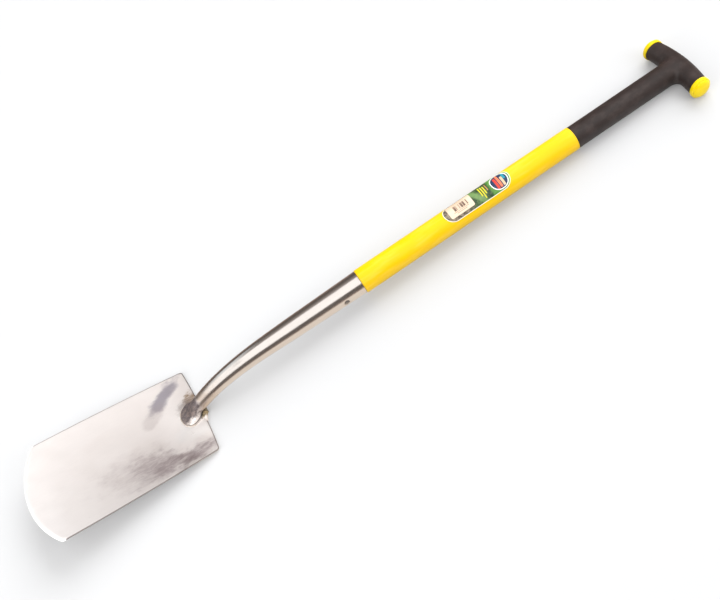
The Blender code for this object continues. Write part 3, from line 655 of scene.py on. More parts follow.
def make_blade():
    shape = BladeShape()
    s = shape.size
    across = stations()
    low_y = across * s.width_top / 2
    high_y = across * s.width_tip / 2
    low = np.stack([shape.top_edge(low_y), low_y], 1)
    high = np.stack([shape.tip_edge(high_y), high_y], 1)
    grid = []
    for a, b, t in zip(low, high, across):
        part = rows_down(np.hypot(*(b - a)))[:, None]
        spot = a + (b - a) * part
        spot[:, 1] += t * shape.bow(part[:, 0])
        grid.append(spot)
    grid = np.array(grid)
    columns, rows = grid.shape[:2]
    flat = grid.reshape(-1, 2)
    to_rim = nearest(flat, np.concatenate([grid[0, ::-1], grid[:, 0], grid[-1]]))
    to_edge = nearest(flat, grid[:, -1])
    half = s.thickness / 2
    inward = half - np.sqrt(np.maximum(half ** 2 - (half - np.minimum(to_rim, half)) ** 2, 0.0))
    back = shape.back(*flat.T)
    ground = back + s.edge_thickness + (s.thickness - s.edge_thickness) * to_edge / s.bevel_width
    front = np.minimum(shape.front(*flat.T) - inward, np.maximum(ground, back + inward))
    back = np.minimum(back + inward, front)
    points = np.concatenate([shape.point(*flat.T, h) for h in (front, back)])
    mesh = outlined("blade_sheet", points, slab_faces(whole_grid(columns, rows), rows, columns * rows))
    for name, values in (("rim", to_rim), ("edge", to_edge)):
        kept = mesh.attributes.new(name, "FLOAT", "POINT")
        kept.data.foreach_set("value", np.concatenate([values, values]).astype(np.float32))
    hand_over(settle("blade_sheet", mesh, blade_finish()), "blade")


# Neck

class NeckShape:
    """The neck's skin: a tapered bent tube whose foot flattens to a tongue on the blade's face."""

    press_after = -0.001
    press_over = 0.006
    pressed_side = 0.7
    clear_above = 0.012
    wide_until = 0.55
    flat_after = 0.73
    least_half = 0.0012

    def __init__(self):
        self.size = sizes("neck")
        self.blade = BladeShape()
        self.gap = sizes("lying").gap
        self.angles = 2 * math.pi * np.arange(self.size.segments) / self.size.segments

    def axis(self, x):
        """Height and slope of the tube's axis, `x` down from the rim."""
        s = self.size
        run = max(x - s.straight, 0.0)
        slope = math.tan(s.foot_angle)
        square = 3 * s.drop / s.bend_length ** 2 - slope / s.bend_length
        cube = slope / s.bend_length ** 2 - 2 * s.drop / s.bend_length ** 3
        return -(square * run ** 2 + cube * run ** 3), 2 * square * run + 3 * cube * run ** 2

    def radius(self, x):
        s = self.size
        if x <= s.straight:
            return (s.mouth_diameter + (s.knee_diameter - s.mouth_diameter) * x / s.straight) / 2
        part = (x - s.straight) / s.bend_length
        return (s.knee_diameter + (s.foot_diameter - s.knee_diameter) * part) / 2

    def ring(self, x, radius):
        height, slope = self.axis(x)
        tilt = math.atan(slope)
        up = np.array([-math.sin(tilt), 0.0, math.cos(tilt)])
        spots = np.array([-x, 0.0, height]) + np.sin(self.angles)[:, None] * radius * up
        spots[:, 1] += np.cos(self.angles) * radius
        return self.pressed(spots)

    def pressed(self, spots):
        """Draws the underside down onto the blade's face past the tread edge."""
        u, y, h = self.blade.local(spots)
        edge = self.blade.top_edge(y)
        floor = self.blade.front(np.maximum(u, edge), y) + self.gap
        pull = smooth((u - self.press_after) / self.press_over)
        pull = pull * np.maximum(-np.sin(self.angles), 0.0) ** self.pressed_side
        down = np.maximum(h + pull * np.minimum(floor - h, 0.0), floor)
        return self.blade.point(u, y, np.where(u > edge - self.clear_above, down, h))

    def outline(self, u):
        """Half width of the flattened foot."""
        s = self.size
        half = s.foot_diameter / 2
        wide = half + (s.tongue_width - s.foot_diameter) / 2 * smooth(u / (s.tongue_length * 0.5))
        nose = s.tongue_length * self.wide_until
        over = np.maximum((u - nose) / (s.tongue_length - nose), 0.0)
        return wide * np.sqrt(np.maximum(1 - over ** 2, 0.0))

    def foot_ring(self, u):
        s = self.size
        blade = self.blade
        flat_at = s.tongue_length * self.flat_after
        part = max(1 - u / flat_at, 0.0)
        low = s.tongue_thickness / 2
        start = blade.foot_height - float(blade.front(0.0, 0.0))
        power = math.tan(blade.foot_tilt) * flat_at / (start - low)
        lift = low + (start - low) * part ** power
        tall = low + (s.foot_diameter / 2 - low) * part ** 1.2
        over = max((u - flat_at) / (s.tongue_length - flat_at), 0.0)
        tall *= math.sqrt(max(1 - 0.75 * over ** 2, 0.0))
        tilt = math.atan(math.tan(blade.foot_tilt) * part ** (power - 1)) if part > 0 else 0.0
        wide = max(float(self.outline(u)), self.least_half)
        square = 1 - 0.35 * (1 - part)
        sine = np.sin(self.angles)
        rise = np.sign(sine) * np.abs(sine) ** square * tall
        y = np.cos(self.angles) * wide
        at_u = u + rise * math.sin(tilt)
        sag = blade.front(at_u, y) - blade.front(at_u, 0.0)
        at_h = float(blade.front(u, 0.0)) + lift + rise * math.cos(tilt) + sag * (1 - part)
        return self.pressed(blade.point(at_u, y, at_h))


def make_neck():
    neck = NeckShape()
    s = neck.size
    gap = neck.gap
    made = Rings()
    straight_rings, bend_rings, foot_rings = 16, 46, 24
    bend = s.straight + np.linspace(0, s.bend_length, bend_rings)[1:]
    stops = [*np.linspace(0.004, s.straight, straight_rings), *bend]
    toe = (0.77, 0.81, 0.85, 0.89, 0.92, 0.95, 0.97, 0.985, 0.995, 1.0)
    rim = s.edge_round
    outer = [(gap + rim * (1 - math.cos(a)), neck.radius(0) - rim * (1 - math.sin(a))) for a in quarter(5)]
    outer = [neck.ring(x, radius) for x, radius in outer + [(x, neck.radius(x)) for x in stops]]
    foot = [*np.linspace(0.02, neck.flat_after, foot_rings), *toe]
    outer = [made.ring(spots) for spots in outer + [neck.foot_ring(s.tongue_length * part) for part in foot]]
    deep = s.straight + s.bend_length - s.hollow_stop
    end = neck.radius(deep) - s.wall
    hollow = [(gap, neck.radius(0) - s.wall)]
    hollow += [(x, neck.radius(x) - s.wall) for x in stops if x < deep - 0.002]
    hollow += [(deep, end), (deep + 0.006, end * 0.6)]
    inner = [made.ring(neck.ring(x, radius)) for x, radius in hollow]
    for rings in (outer, inner, (outer[0], inner[0])):
        made.skin(rings)
    made.faces += [tuple(outer[-1]), tuple(inner[-1])]
    mesh = outlined("neck_steel", np.concatenate(made.spots), made.faces)
    piece = settle("neck_steel", mesh, neck_finish(), 75.0)
    drill(piece)
    hand_over(piece, "neck_tube")


def at_rivet(mesh):
    """Turns a body of revolution across the shaft, at the rivet's place."""
    place = Matrix.Translation((-sizes("weld").rivet_place, 0.0, 0.0))
    mesh.transform(place @ Matrix.Rotation(math.pi / 2, 4, "Z"))
    return mesh


def drill(piece):
    """Cuts the rivet's hole."""
    weld = sizes("weld")
    radius = weld.rivet_diameter / 2 + weld.clearance
    reach = 0.03
    outline = [(-reach, 0.0), (-reach, radius), (reach, radius), (reach, 0.0)]
    tool = settle("rivet hole", at_rivet(turned("rivet hole", outline, 32, None)), piece.data.materials[0])
    step = piece.modifiers.new("hole", "BOOLEAN")
    step.operation = "DIFFERENCE"
    step.solver = "EXACT"
    step.object = tool
    applied(piece)
    bpy.data.objects.remove(tool)


# Welds and rivet

def make_welds():
    shape = NeckShape()
    weld = sizes("weld")
    blade = shape.blade
    colours = sizes("finish")
    finish = weld_finish("brushed weld", tuple(colours.bead), (0.62, 0.54, 0.47), 0.75, 0.0)
    start = weld.back_wing + weld.width / 2
    length = shape.size.tongue_length
    u = start + (length - start) * np.sin(math.pi / 2 * np.linspace(0, 1, 30))
    side = np.stack([u, shape.outline(u)], 1)
    path = np.concatenate([side, side[-2::-1] * [1, -1]])
    ahead = np.gradient(path, axis=0)
    ahead /= np.linalg.norm(ahead, axis=1)[:, None]
    out = np.stack([ahead[:, 1], -ahead[:, 0]], 1)
    out *= np.sign((out * (path - [length * 0.4, 0.0])).sum(1))[:, None]
    u, y = (path + out * (weld.width / 2 + shape.gap)).T
    spots = blade.point(u, y, blade.front(u, y) + weld.height * 0.15)
    values = {"Width": weld.width, "Ripple Pitch": weld.ripple, "Ripple": 0.10, "Step": 0.00035, "Seed": 4.0,
              "Material": finish}
    mesh = grown("weld_bead", spots, [(i, i + 1) for i in range(len(spots) - 1)], bead_tree(), values)
    lift_off(mesh, blade)
    hand_over(settle("weld_bead", mesh, finish, 70.0), "weld_front")
    finish = weld_finish("raw weld", tuple(colours.fillet), (0.34, 0.27, 0.16), 0.8)
    mesh = outlined("weld_fillet", *fillet_shape(shape, weld))
    hand_over(settle("weld_fillet", mesh, finish, 120.0), "weld_back")


def lift_off(mesh, blade):
    """Keeps a bead's underside on the blade's face."""
    u, y, h = blade.local(spots_of(mesh))
    move_spots(mesh, blade.point(u, y, np.maximum(h, blade.front(u, y) + 0.00004)))


def fillet_shape(shape, weld):
    """The hollow fillet between the tread edge and the tube, with a wing on the blade at either side."""
    blade = shape.blade
    gap = shape.gap
    foot_radius = shape.size.foot_diameter / 2
    side = foot_radius + gap
    run = weld.back_length / 2 - side
    above_face, thinnest = 0.00005, 0.0003
    parts = [(k / 21) ** 1.6 for k in range(22)]
    under = [(0, c) for c in np.linspace(-0.96, 0.96, 21)]
    columns = [(-1, k) for k in reversed(parts)] + under + [(1, k) for k in parts]
    rows = [("on", k) for k in (1.0, 0.85, 0.70, 0.55, 0.42, 0.30, 0.20, 0.12, 0.05)]
    on_blade = len(rows) - 1
    rows += [("edge", 0.0003)] + [("back", math.sin(a)) for a in quarter(11)]
    low = np.empty((len(rows), len(columns), 3))
    high = np.empty_like(low)
    for i, (where, step) in enumerate(rows):
        for j, (wing, part) in enumerate(columns):
            past = part if wing else 0.0
            hollow = 1 - math.sqrt(1 - (1 - past) ** 2)
            slim = math.sqrt(max(1 - past ** 2.5, 0.02))
            ahead = weld.back_wing * step * slim if where == "on" else 0.0
            wide = max(float(shape.outline(ahead)) + gap * 0.5, side)
            narrow = 1 - 0.7 * ahead / weld.back_wing
            y = wing * (wide + past * run * narrow) if wing else part * side
            edge = float(blade.top_edge(y))
            rim = float(blade.front(edge, y))
            if where == "on":
                u = edge + ahead
                bottom = float(blade.front(u, y)) + above_face
                top = bottom + thinnest + weld.back_climb * hollow * (1 - step) ** 1.5
            elif where == "edge":
                u = edge - step
                bottom = rim + above_face
                top = bottom + thinnest + weld.back_climb * hollow
            else:
                reach = 0.0007 + weld.back_reach * (0.15 + 0.85 * hollow) * step * slim
                u = edge - gap - reach
                bottom = rim - blade.size.thickness * 0.7 + reach * 0.45
                fall = math.sqrt(max(1 - step ** 2, 0.0))
                top = rim - 0.0010 * (1 - fall) + (0.0006 + weld.back_climb * hollow) * fall
                clear = foot_radius + gap * 2
                if abs(y) < clear:
                    axis = blade.foot_height - u * math.tan(blade.foot_tilt)
                    top = min(top, axis - math.sqrt(clear ** 2 - y ** 2) / math.cos(blade.foot_tilt))
                top = max(top, bottom + thinnest)
            low[i, j] = blade.point(u, y, bottom)
            high[i, j] = blade.point(u, y, top)
    first, last = len(parts) - 1, len(parts) + len(under)
    cells = whole_grid(len(rows), len(columns))
    cells = {(i, j) for i, j in cells if i >= on_blade or j < first or j >= last}
    faces = slab_faces(cells, len(columns), len(rows) * len(columns))
    points = np.concatenate([low.reshape(-1, 3), high.reshape(-1, 3)])
    return without_loose(points, faces)[:2]


def make_rivet():
    weld = sizes("weld")
    head = weld.rivet_head / 2
    edge = 0.0002
    seat = NeckShape().radius(weld.rivet_place) + 0.0001
    half = [(seat, weld.rivet_diameter / 2), (seat, head - edge), (seat + edge, head)]
    half += [(seat + edge + weld.rivet_rise * math.sin(a), head * math.cos(a)) for a in quarter(8)[1:-1]]
    half.append((seat + edge + weld.rivet_rise, 0.0))
    outline = [(-x, radius) for x, radius in reversed(half)] + half
    finish = rivet_finish()
    rivet = settle("rivet", at_rivet(turned("rivet", outline, 40, finish)), finish)
    hand_over(rivet, "socket_rivet")


# Shaft

def make_jacket():
    shaft = sizes("shaft")
    neck = NeckShape()
    bore = shaft.core_diameter / 2 + neck.gap
    radius = shaft.diameter / 2
    end = shaft.end_diameter / 2
    length = shaft.jacket_length
    tenon = shaft.tenon_length

    def eased(x, radius, way):
        r = shaft.edge_round
        return [(x - way * r * (1 - math.cos(a)), radius - r * (1 - math.sin(a))) for a in quarter(4)]

    outline = [(-tenon, bore)]
    for part in (1.0, 0.75, 0.5, 0.25, 0.0):
        outline.append((-tenon * part, neck.radius(tenon * part) - neck.size.wall - neck.gap))
    outline += eased(0.0, radius, -1)
    outline += [(length * part, radius + (end - radius) * part) for part in np.linspace(0, 1, 26)[1:-1]]
    outline += [*reversed(eased(length, end, 1)), (length, bore)]
    finish = jacket_finish()
    piece = settle("shaft_sheath", turned("shaft_sheath", outline, shaft.segments, finish), finish)
    drill(piece)
    hand_over(piece, "shaft_jacket")


# Grip

class GripShape:
    """The grip's outer surface: a sleeve and two arms that blend into one another."""

    arm_count = 24
    columns = 18
    window_reach = 5
    window_columns = 3
    collar = (0.003, 0.0075, 0.013, 0.020, 0.030)
    sleeve_shares = (0.8, 0.6, 0.4, 0.2, 0.0)
    rounds = 25

    def __init__(self):
        self.size = s = sizes("grip")
        shaft = sizes("shaft")
        self.bottom = shaft.jacket_length + sizes("lying").gap
        self.top = shaft.jacket_length + s.length
        self.arm_under = self.top - s.arm_middle
        self.end_radius = s.arm_end / 2
        self.end_middle = self.top - s.arm_rise - self.end_radius
        self.sleeve_radius = s.sleeve_diameter / 2
        self.points = []
        self.free = []
        self.faces = []
        self.make_sleeve(self.open_side(self.make_arms()))
        self.points, self.faces, new = without_loose(self.points, self.faces)
        self.free = np.array([self.free[old] for old in new])
        self.arm_rims = [[new[i] for i in rim] for rim in self.arm_rims]
        self.sleeve_rim = [new[i] for i in self.sleeve_rim]
        self.relax()

    def arm_section(self, part):
        middle = self.top - self.size.arm_middle / 2
        half = self.size.arm_middle / 2
        return middle + (self.end_middle - middle) * part, half + (self.end_radius - half) * part

    def depth(self, points):
        """Signed distance from the surface, less than 0 inside."""
        s = self.size
        x, y, z = points.T
        part = np.clip(y / s.arm_half, -1.0, 1.0) ** 2
        middle, half_x = self.arm_section(part)
        half_z = self.end_radius + s.arm_swell * (1 - part)
        arm = (np.sqrt(((x - middle) / half_x) ** 2 + (z / half_z) ** 2) - 1) * (half_x + half_z) / 2
        stem_end = self.arm_under + (self.top - self.arm_under) * 0.30
        stem = np.sqrt(np.clip(x - stem_end, 0.0, None) ** 2 + y ** 2 + z ** 2) - self.sleeve_radius
        turn = smooth(0.5 - z / s.sleeve_diameter)
        blend = s.front_blend + (s.back_blend - s.front_blend) * turn
        mix = np.clip(0.5 + 0.5 * (arm - stem) / blend, 0.0, 1.0)
        return arm * (1 - mix) + stem * mix - blend * mix * (1 - mix)

    def project(self, points, depth, axes, steps=12):
        """Moves points onto the surface `depth` below the outer one, along the axes that aren't 0."""
        step = 1e-5
        for _ in range(steps):
            value = self.depth(points) + depth
            slope = [(self.depth(points + shift) - self.depth(points - shift)) / (2 * step)
                     for shift in np.eye(3) * step]
            slope = np.stack(slope, 1) * axes
            points = points - slope * (value / np.maximum((slope ** 2).sum(1), 0.05))[:, None]
        past = np.maximum(self.top - self.size.pad_length - points[:, 0], 0.0)
        floor = depth - self.size.back_pad - past * self.size.pad_run_out
        points[:, 2] = np.maximum(points[:, 2], floor)
        return points

    def add_ring(self, spots, free):
        first = len(self.points)
        self.points += spots
        self.free += [free] * len(spots)
        return list(range(first, first + len(spots)))

    def make_arms(self):
        rings = []
        for j in range(self.columns + 1):
            t = 2 * j / self.columns - 1
            middle, half = self.arm_section(t * t)
            angles = [2 * math.pi * i / self.arm_count for i in range(self.arm_count)]
            spots = [(middle + math.cos(a) * half, self.size.arm_half * t, math.sin(a) * self.end_radius)
                     for a in angles]
            rings.append(self.add_ring(spots, 0 < j < self.columns))
        self.arm_rims = [rings[0], rings[-1]]
        return rings

    def open_side(self, rings):
        """Skins the arms but for a window on the sleeve's side, and returns the window's rim in order."""
        low_i, high_i = (self.arm_count // 2 + way * self.window_reach for way in (-1, 1))
        low_j, high_j = (self.columns // 2 + way * self.window_columns for way in (-1, 1))
        for j in range(self.columns):
            for i in range(self.arm_count):
                if low_i <= i < high_i and low_j <= j < high_j:
                    continue
                k = (i + 1) % self.arm_count
                self.faces.append((rings[j][i], rings[j][k], rings[j + 1][k], rings[j + 1][i]))
        rim = [rings[j][low_i] for j in range(low_j, high_j)]
        rim += [rings[high_j][i] for i in range(low_i, high_i)]
        rim += [rings[j][high_i] for j in range(high_j, low_j, -1)]
        return rim + [rings[low_j][i] for i in range(high_i, low_i, -1)]

    def make_sleeve(self, rim):
        angles = [math.atan2(self.points[v][2], self.points[v][1]) for v in rim]
        many = len(rim)
        turn = 2 * math.pi / many
        if (angles[1] - angles[0] + math.pi) % (2 * math.pi) < math.pi:
            turn = -turn
        drift = [(a - turn * i - angles[0] + math.pi) % (2 * math.pi) - math.pi for i, a in enumerate(angles)]
        first = angles[0] + sum(drift) / many
        places = [self.arm_under - d for d in self.collar]
        places += [self.bottom + (places[-1] - self.bottom) * part for part in self.sleeve_shares]
        r = self.sleeve_radius
        angles = [first + turn * i for i in range(many)]
        for n, x in enumerate(places):
            spots = [(x, math.cos(a) * r, math.sin(a) * r) for a in angles]
            ring = self.add_ring(spots, n < len(self.collar) - 1)
            self.faces += zip(rim, rim[1:] + rim[:1], ring[1:] + ring[:1], ring)
            rim = ring
        self.sleeve_rim = rim

    def relax(self):
        """Evens out the mesh where the arms meet the sleeve, and lays every point on the surface."""
        points = self.points
        pairs = {tuple(sorted(p)) for face in self.faces for p in zip(face, face[1:] + face[:1])}
        a, b = np.array(sorted(pairs)).T
        near = np.zeros(len(points))
        np.add.at(near, a, 1)
        np.add.at(near, b, 1)
        axes = np.ones_like(points)
        for rim in self.arm_rims:
            axes[rim, 1] = 0.0
        axes[self.sleeve_rim, 0] = 0.0
        free = self.free & (np.abs(points[:, 1]) < self.size.arm_half * 0.9)
        points = self.project(points, 0.0, axes)
        for _ in range(self.rounds):
            total = np.zeros_like(points)
            np.add.at(total, a, points[b])
            np.add.at(total, b, points[a])
            points[free] += (total / near[:, None] - points)[free] * 0.5
            points = self.project(points, 0.0, axes, 4)
        self.points = points


def make_grip():
    shape = GripShape()
    on_rim = 1e-5
    coarse = placed("grip coarse", outlined("grip coarse", shape.points, shape.faces))
    step = coarse.modifiers.new("fine", "SUBSURF")
    step.levels = 2
    step.render_levels = 2
    fine = applied(coarse)
    outer = spots_of(fine)
    faces = [tuple(p.vertices) for p in fine.polygons]
    bpy.data.objects.remove(coarse)
    axes = np.ones_like(outer)
    axes[np.abs(np.abs(outer[:, 1]) - shape.size.arm_half) < on_rim, 1] = 0.0
    axes[np.abs(outer[:, 0] - shape.bottom) < on_rim, 0] = 0.0
    outer = shape.project(outer, 0.0, axes)
    inner = shape.project(outer.copy(), shape.size.skin, axes)
    below = len(outer)
    sides = {}
    for face in faces:
        for p in zip(face, face[1:] + face[:1]):
            key = tuple(sorted(p))
            sides[key] = None if key in sides else p
    walls = [(p[1], p[0], p[0] + below, p[1] + below) for p in sides.values() if p]
    skins = faces + [tuple(i + below for i in reversed(face)) for face in faces] + walls
    mesh = outlined("grip_skin", np.concatenate([outer, inner]), skins)
    hand_over(settle("grip_skin", mesh, grip_finish(), 50.0), "grip_overmould")
    make_caps(shape)


def make_caps(shape):
    s = shape.size
    rim = s.cap_diameter / 2
    lip = (shape.end_radius + rim) / 2
    face = -sizes("lying").gap
    band = face - s.cap_band
    spigot = s.spigot_diameter / 2
    chamfer = 0.0006
    end = s.spigot_length
    outline = [(end, 0.0), (end, spigot - chamfer), (end - chamfer, spigot), (face, spigot), (face, lip)]
    outline += [(face - s.cap_round * 0.6 * (1 - math.cos(a)), lip + (rim - lip) * math.sin(a))
                for a in quarter(5)[1:]]
    outline.append((band + s.cap_round, rim))
    flat = rim - s.cap_round
    outline += [(band + s.cap_round * (1 - math.sin(a)), flat + s.cap_round * math.cos(a))
                for a in quarter(7)[1:-1]]
    outline += [(band - math.sin(a) * s.cap_dome, flat * math.cos(a)) for a in quarter(20)[:-1]]
    outline.append((band - s.cap_dome, 0.0))
    finish = cap_finish()
    for side, name in ((-1, "cap_right"), (1, "cap_left")):
        mesh = turned(name, outline, s.segments, finish)
        spot = Matrix.Translation((shape.end_middle, side * s.arm_half, 0.0))
        mesh.transform(spot @ Matrix.Rotation(-side * math.pi / 2, 4, "Z"))
        hand_over(settle(name, mesh, finish, 50.0), "grip_" + name)


# Label and sticker

def wrapped(along, across, lift):
    """A point on the shaft, `along` from the neck's rim and `across` from the label's middle line."""
    shaft = sizes("shaft")
    radius = (shaft.diameter + (shaft.end_diameter - shaft.diameter) * along / shaft.jacket_length) / 2
    turn = sizes("label").turn - across / radius
    return along, -math.sin(turn) * (radius + lift), math.cos(turn) * (radius + lift)


def make_film(name, finish, start, length, width, corner, steps, lift, thickness, offset=0.0):
    """A thin round-cornered film on the shaft. Its print reads metres times five, along and across."""
    many, least_reach = 25, 0.02
    half = width / 2
    corner_steps, straight_steps = steps
    ease = [corner * (1 - math.cos(a)) for a in quarter(corner_steps)]
    straight = np.linspace(corner, length - corner, straight_steps)[1:-1]
    places = [*ease, *straight, *(length - p for p in reversed(ease))]
    points, marks = [], []
    for height in (lift + thickness, lift):
        for place in places:
            short = max(corner - min(place, length - place), 0.0)
            reach = half - corner + math.sqrt(max(corner ** 2 - short ** 2, 0.0))
            for k in range(many):
                across = max(reach, half * least_reach) * (2 * k / (many - 1) - 1)
                points.append(wrapped(start + place, offset + across, height))
                marks.append((place * 5, across * 5 + 0.5))
    rows = len(places)
    mesh = outlined(name, points, slab_faces(whole_grid(rows, many), many, rows * many))
    chart = mesh.uv_layers.new(name="print")
    for loop in mesh.loops:
        chart.data[loop.index].uv = marks[loop.vertex_index]
    return settle(name, mesh, finish, 50.0)


def make_labels():
    s = sizes("label")
    under = 0.00005
    film = make_film("label_film", label_finish(), s.start, s.length, s.width, corner=s.width / 2,
                     steps=(14, 20), lift=under, thickness=s.thickness)
    hand_over(film, "label")
    start = s.start + s.sticker_inset
    paper = make_film("sticker_paper", sticker_finish(), start, s.sticker_length, s.sticker_width,
                      corner=0.0025, steps=(6, 10), lift=under + s.thickness + under, thickness=0.0002,
                      offset=s.sticker_offset)
    hand_over(paper, "label_barcode")


# Finishes

class Finish(Nodes):
    """A material. A number that is the same all over stays on its shader's own socket."""

    def __init__(self, name, **even):
        self.made = bpy.data.materials.new(name)
        self.made.use_nodes = True
        super().__init__(self.made.node_tree)
        self.shader = self.tree.nodes["Principled BSDF"]
        self.paint(**even)

    def paint(self, **sockets):
        for label, value in sockets.items():
            self.feed(self.shader.inputs[label.replace("_", " ")], value)
        return self.made

    def spot(self):
        return self.field("TexCoord", output="Object")

    def in_frame(self, size, turn=0.0, middle=None):
        """Object coordinates in the shaft's frame, or in the blade's, in units of a size along each axis."""
        lie = sizes("lying")
        inputs = {"Vector": self.spot(), "Location": middle or (lie.along, 0.0, lie.height),
                  "Rotation": (0.0, lie.tilt + turn, 0.0), "Scale": size}
        return self.field("Mapping", inputs, vector_type="TEXTURE")

    def grain(self, along, across=None):
        across = across or along
        return self.in_frame((along, across, across))

    def noise(self, place, scale=1.0, detail=3.0, rough=0.5, warp=0.0):
        inputs = {"Vector": place, "Scale": scale, "Detail": detail, "Roughness": rough, "Distortion": warp}
        return self.field("TexNoise", inputs)

    def cells(self, size):
        return self.field("TexVoronoi", {"Vector": self.grain(size), "Scale": 1.0})

    def value(self, name):
        return self.field("Attribute", output="Fac", attribute_name=name)

    def swing(self, noise, first=0.0, last=1.0):
        """Spreads the range that a noise mostly keeps to."""
        return self.spread(noise, 0.3, 0.7, first, last)

    def layered(self, tint, *layers):
        """Lays colours over a tint in turn, each by its share."""
        for part, over in layers:
            tint = self.mix(part, tint, over)
        return tint

    def bumps(self, *waves):
        """A normal from heights, each with the depth that it is raised by."""
        inputs = {"Strength": 1.0}
        for height, depth in waves:
            inputs["Normal"] = self.field("Bump", {"Height": height, "Distance": depth, **inputs})
        return inputs["Normal"]


def tinted(value, factor):
    return tuple(min(c * factor, 1.0) for c in value)


class SheetFinish(Finish):
    """A finish that knows its place on the blade: `down` from the tread edge, `over` toward +Y, in metres."""

    def __init__(self, name, **even):
        super().__init__(name, **even)
        self.turn = sizes("blade").pitch
        self.middle = tuple(lying() @ Vector(BladeShape().origin))
        x, self.over, _ = self.axes(self.on_blade(1.0, 1.0))
        self.down = x * -1.0

    def on_blade(self, along, across):
        return self.in_frame((along, across, along), self.turn, self.middle)

    def patch(self, down, over, length, width, turn=0.0, ragged=0.3, size=0.012):
        """1 in the middle of a ragged oval and 0 outside it."""
        c, s = math.cos(math.radians(turn)), math.sin(math.radians(turn))
        u = self.down - down
        v = self.over - over
        far = self.far(u * (c / length) + v * (s / length), v * (c / width) - u * (s / width))
        rag = self.noise(self.on_blade(size * 1.6, size), detail=4.0, rough=0.6)
        far = far + self.spread(rag, 0.2, 0.8, -ragged, ragged)
        return self.spread(far, 0.35, 1.0, 1.0, 0.0, "SMOOTHSTEP")


def blade_finish():
    """Satin stainless sheet: cloudy polish, fine lengthwise lines, a brown heat tint and a darker patch by
    the foot, a pinkish grey haze, small marks, a bright ground edge. It also holds painted light: painted
    dark reflections on the near half, a painted lavender reflection, a painted highlight below the foot and
    painted shade along the rim."""
    colours = sizes("finish")
    base, grey, heat = tuple(colours.blade), tuple(colours.dull), tuple(colours.heat)
    f = SheetFinish("satin stainless")
    cloud = f.noise(f.on_blade(0.06, 0.035), detail=4.0, rough=0.55, warp=0.4)
    lines = f.noise(f.on_blade(0.030, 0.0006), detail=4.0, rough=0.7)
    marks = f.noise(f.on_blade(0.0040, 0.0030), detail=5.0, rough=0.65)
    dark_reflection_streaks = f.noise(f.on_blade(0.016, 0.004), detail=5.0, rough=0.65, warp=0.6)
    streak = f.noise(f.on_blade(0.012, 0.0016), detail=4.0, rough=0.7)
    waves = f.noise(f.on_blade(0.05, 0.04), detail=1.0)
    speck = f.spread(marks, 0.66, 0.74)
    ground = f.spread(f.value("edge"), 0.0014, 0.0024, 1.0, 0.0)
    # The dark line along the sheet's rim, but for the ground edge, is painted shade on the sheet's edge.
    rim = f.spread(f.value("rim"), 0.0006, 0.0019, 1.0, 0.0) * (1.0 - ground)
    dark_reflection_streaks = f.spread(dark_reflection_streaks, 0.36, 0.60, 0.55, 1.25)
    # Dark grey patches on the near half: painted dark reflection of the dim surroundings that this side
    # mirrors.
    painted_dark_reflections = ((0.060, -0.060, 0.052, 0.017, 8.0, 0.60), (0.088, -0.052, 0.060, 0.034, 14.0, 0.42),
              (0.110, -0.045, 0.085, 0.044, 10.0, 0.22), (0.020, -0.063, 0.042, 0.015, -4.0, 0.60))
    # A lavender patch on the far half: painted reflection of something bluish.
    blue = f.patch(0.042, 0.053, 0.047, 0.0155, -32.0, 0.42, 0.018)
    haze = f.patch(0.066, 0.030, 0.034, 0.016, -30.0, 0.4)
    brown = f.patch(0.006, 0.025, 0.015, 0.018, 20.0, 0.45, 0.005) * f.spread(streak, 0.35, 0.6, 0.45, 1.0)
    shade = f.patch(0.014, 0.014, 0.021, 0.020, 0.0, 0.25, 0.006)
    # A pale patch below the foot, with a little less roughness: painted highlight.
    shine = f.patch(0.020, -0.027, 0.040, 0.022, 0.0, 0.15)
    dent = f.patch(0.020, -0.058, 0.040, 0.040, 0.0, 0.0)
    tint = f.layered(
        base,
        (f.spread(cloud, 0.35, 0.75, 0.0, 0.45), tinted(base, 0.88)),
        (f.swing(lines, 0.0, 0.12), tinted(base, 0.7)),
        *((f.patch(*where, 0.45) * strong * dark_reflection_streaks, grey) for *where, strong in painted_dark_reflections),
        (blue * 0.84, (0.34, 0.315, 0.375)),
        (haze * 0.30, (0.48, 0.42, 0.42)),
        (brown, heat),
        (shade * 0.75, (0.30, 0.255, 0.245)),
        (shine * 0.8, (1.0, 0.985, 0.975)),
        (speck * 0.12, tinted(base, 0.5)),
        (rim * 0.85, (0.16, 0.13, 0.12)),
        (ground, (0.94, 0.93, 0.92)))
    rough = f.swing(cloud, 0.34, 0.44) + f.swing(lines, -0.03, 0.04) - shine * 0.08
    normal = f.bumps((dent, -0.0016), (waves, 0.0006), (lines, 0.00002), (speck, -0.00004))
    metal = f.spread(ground, 0.0, 1.0, 0.93, 0.35)
    return f.paint(Base_Color=tint, Metallic=metal, Roughness=rough, Normal=normal)


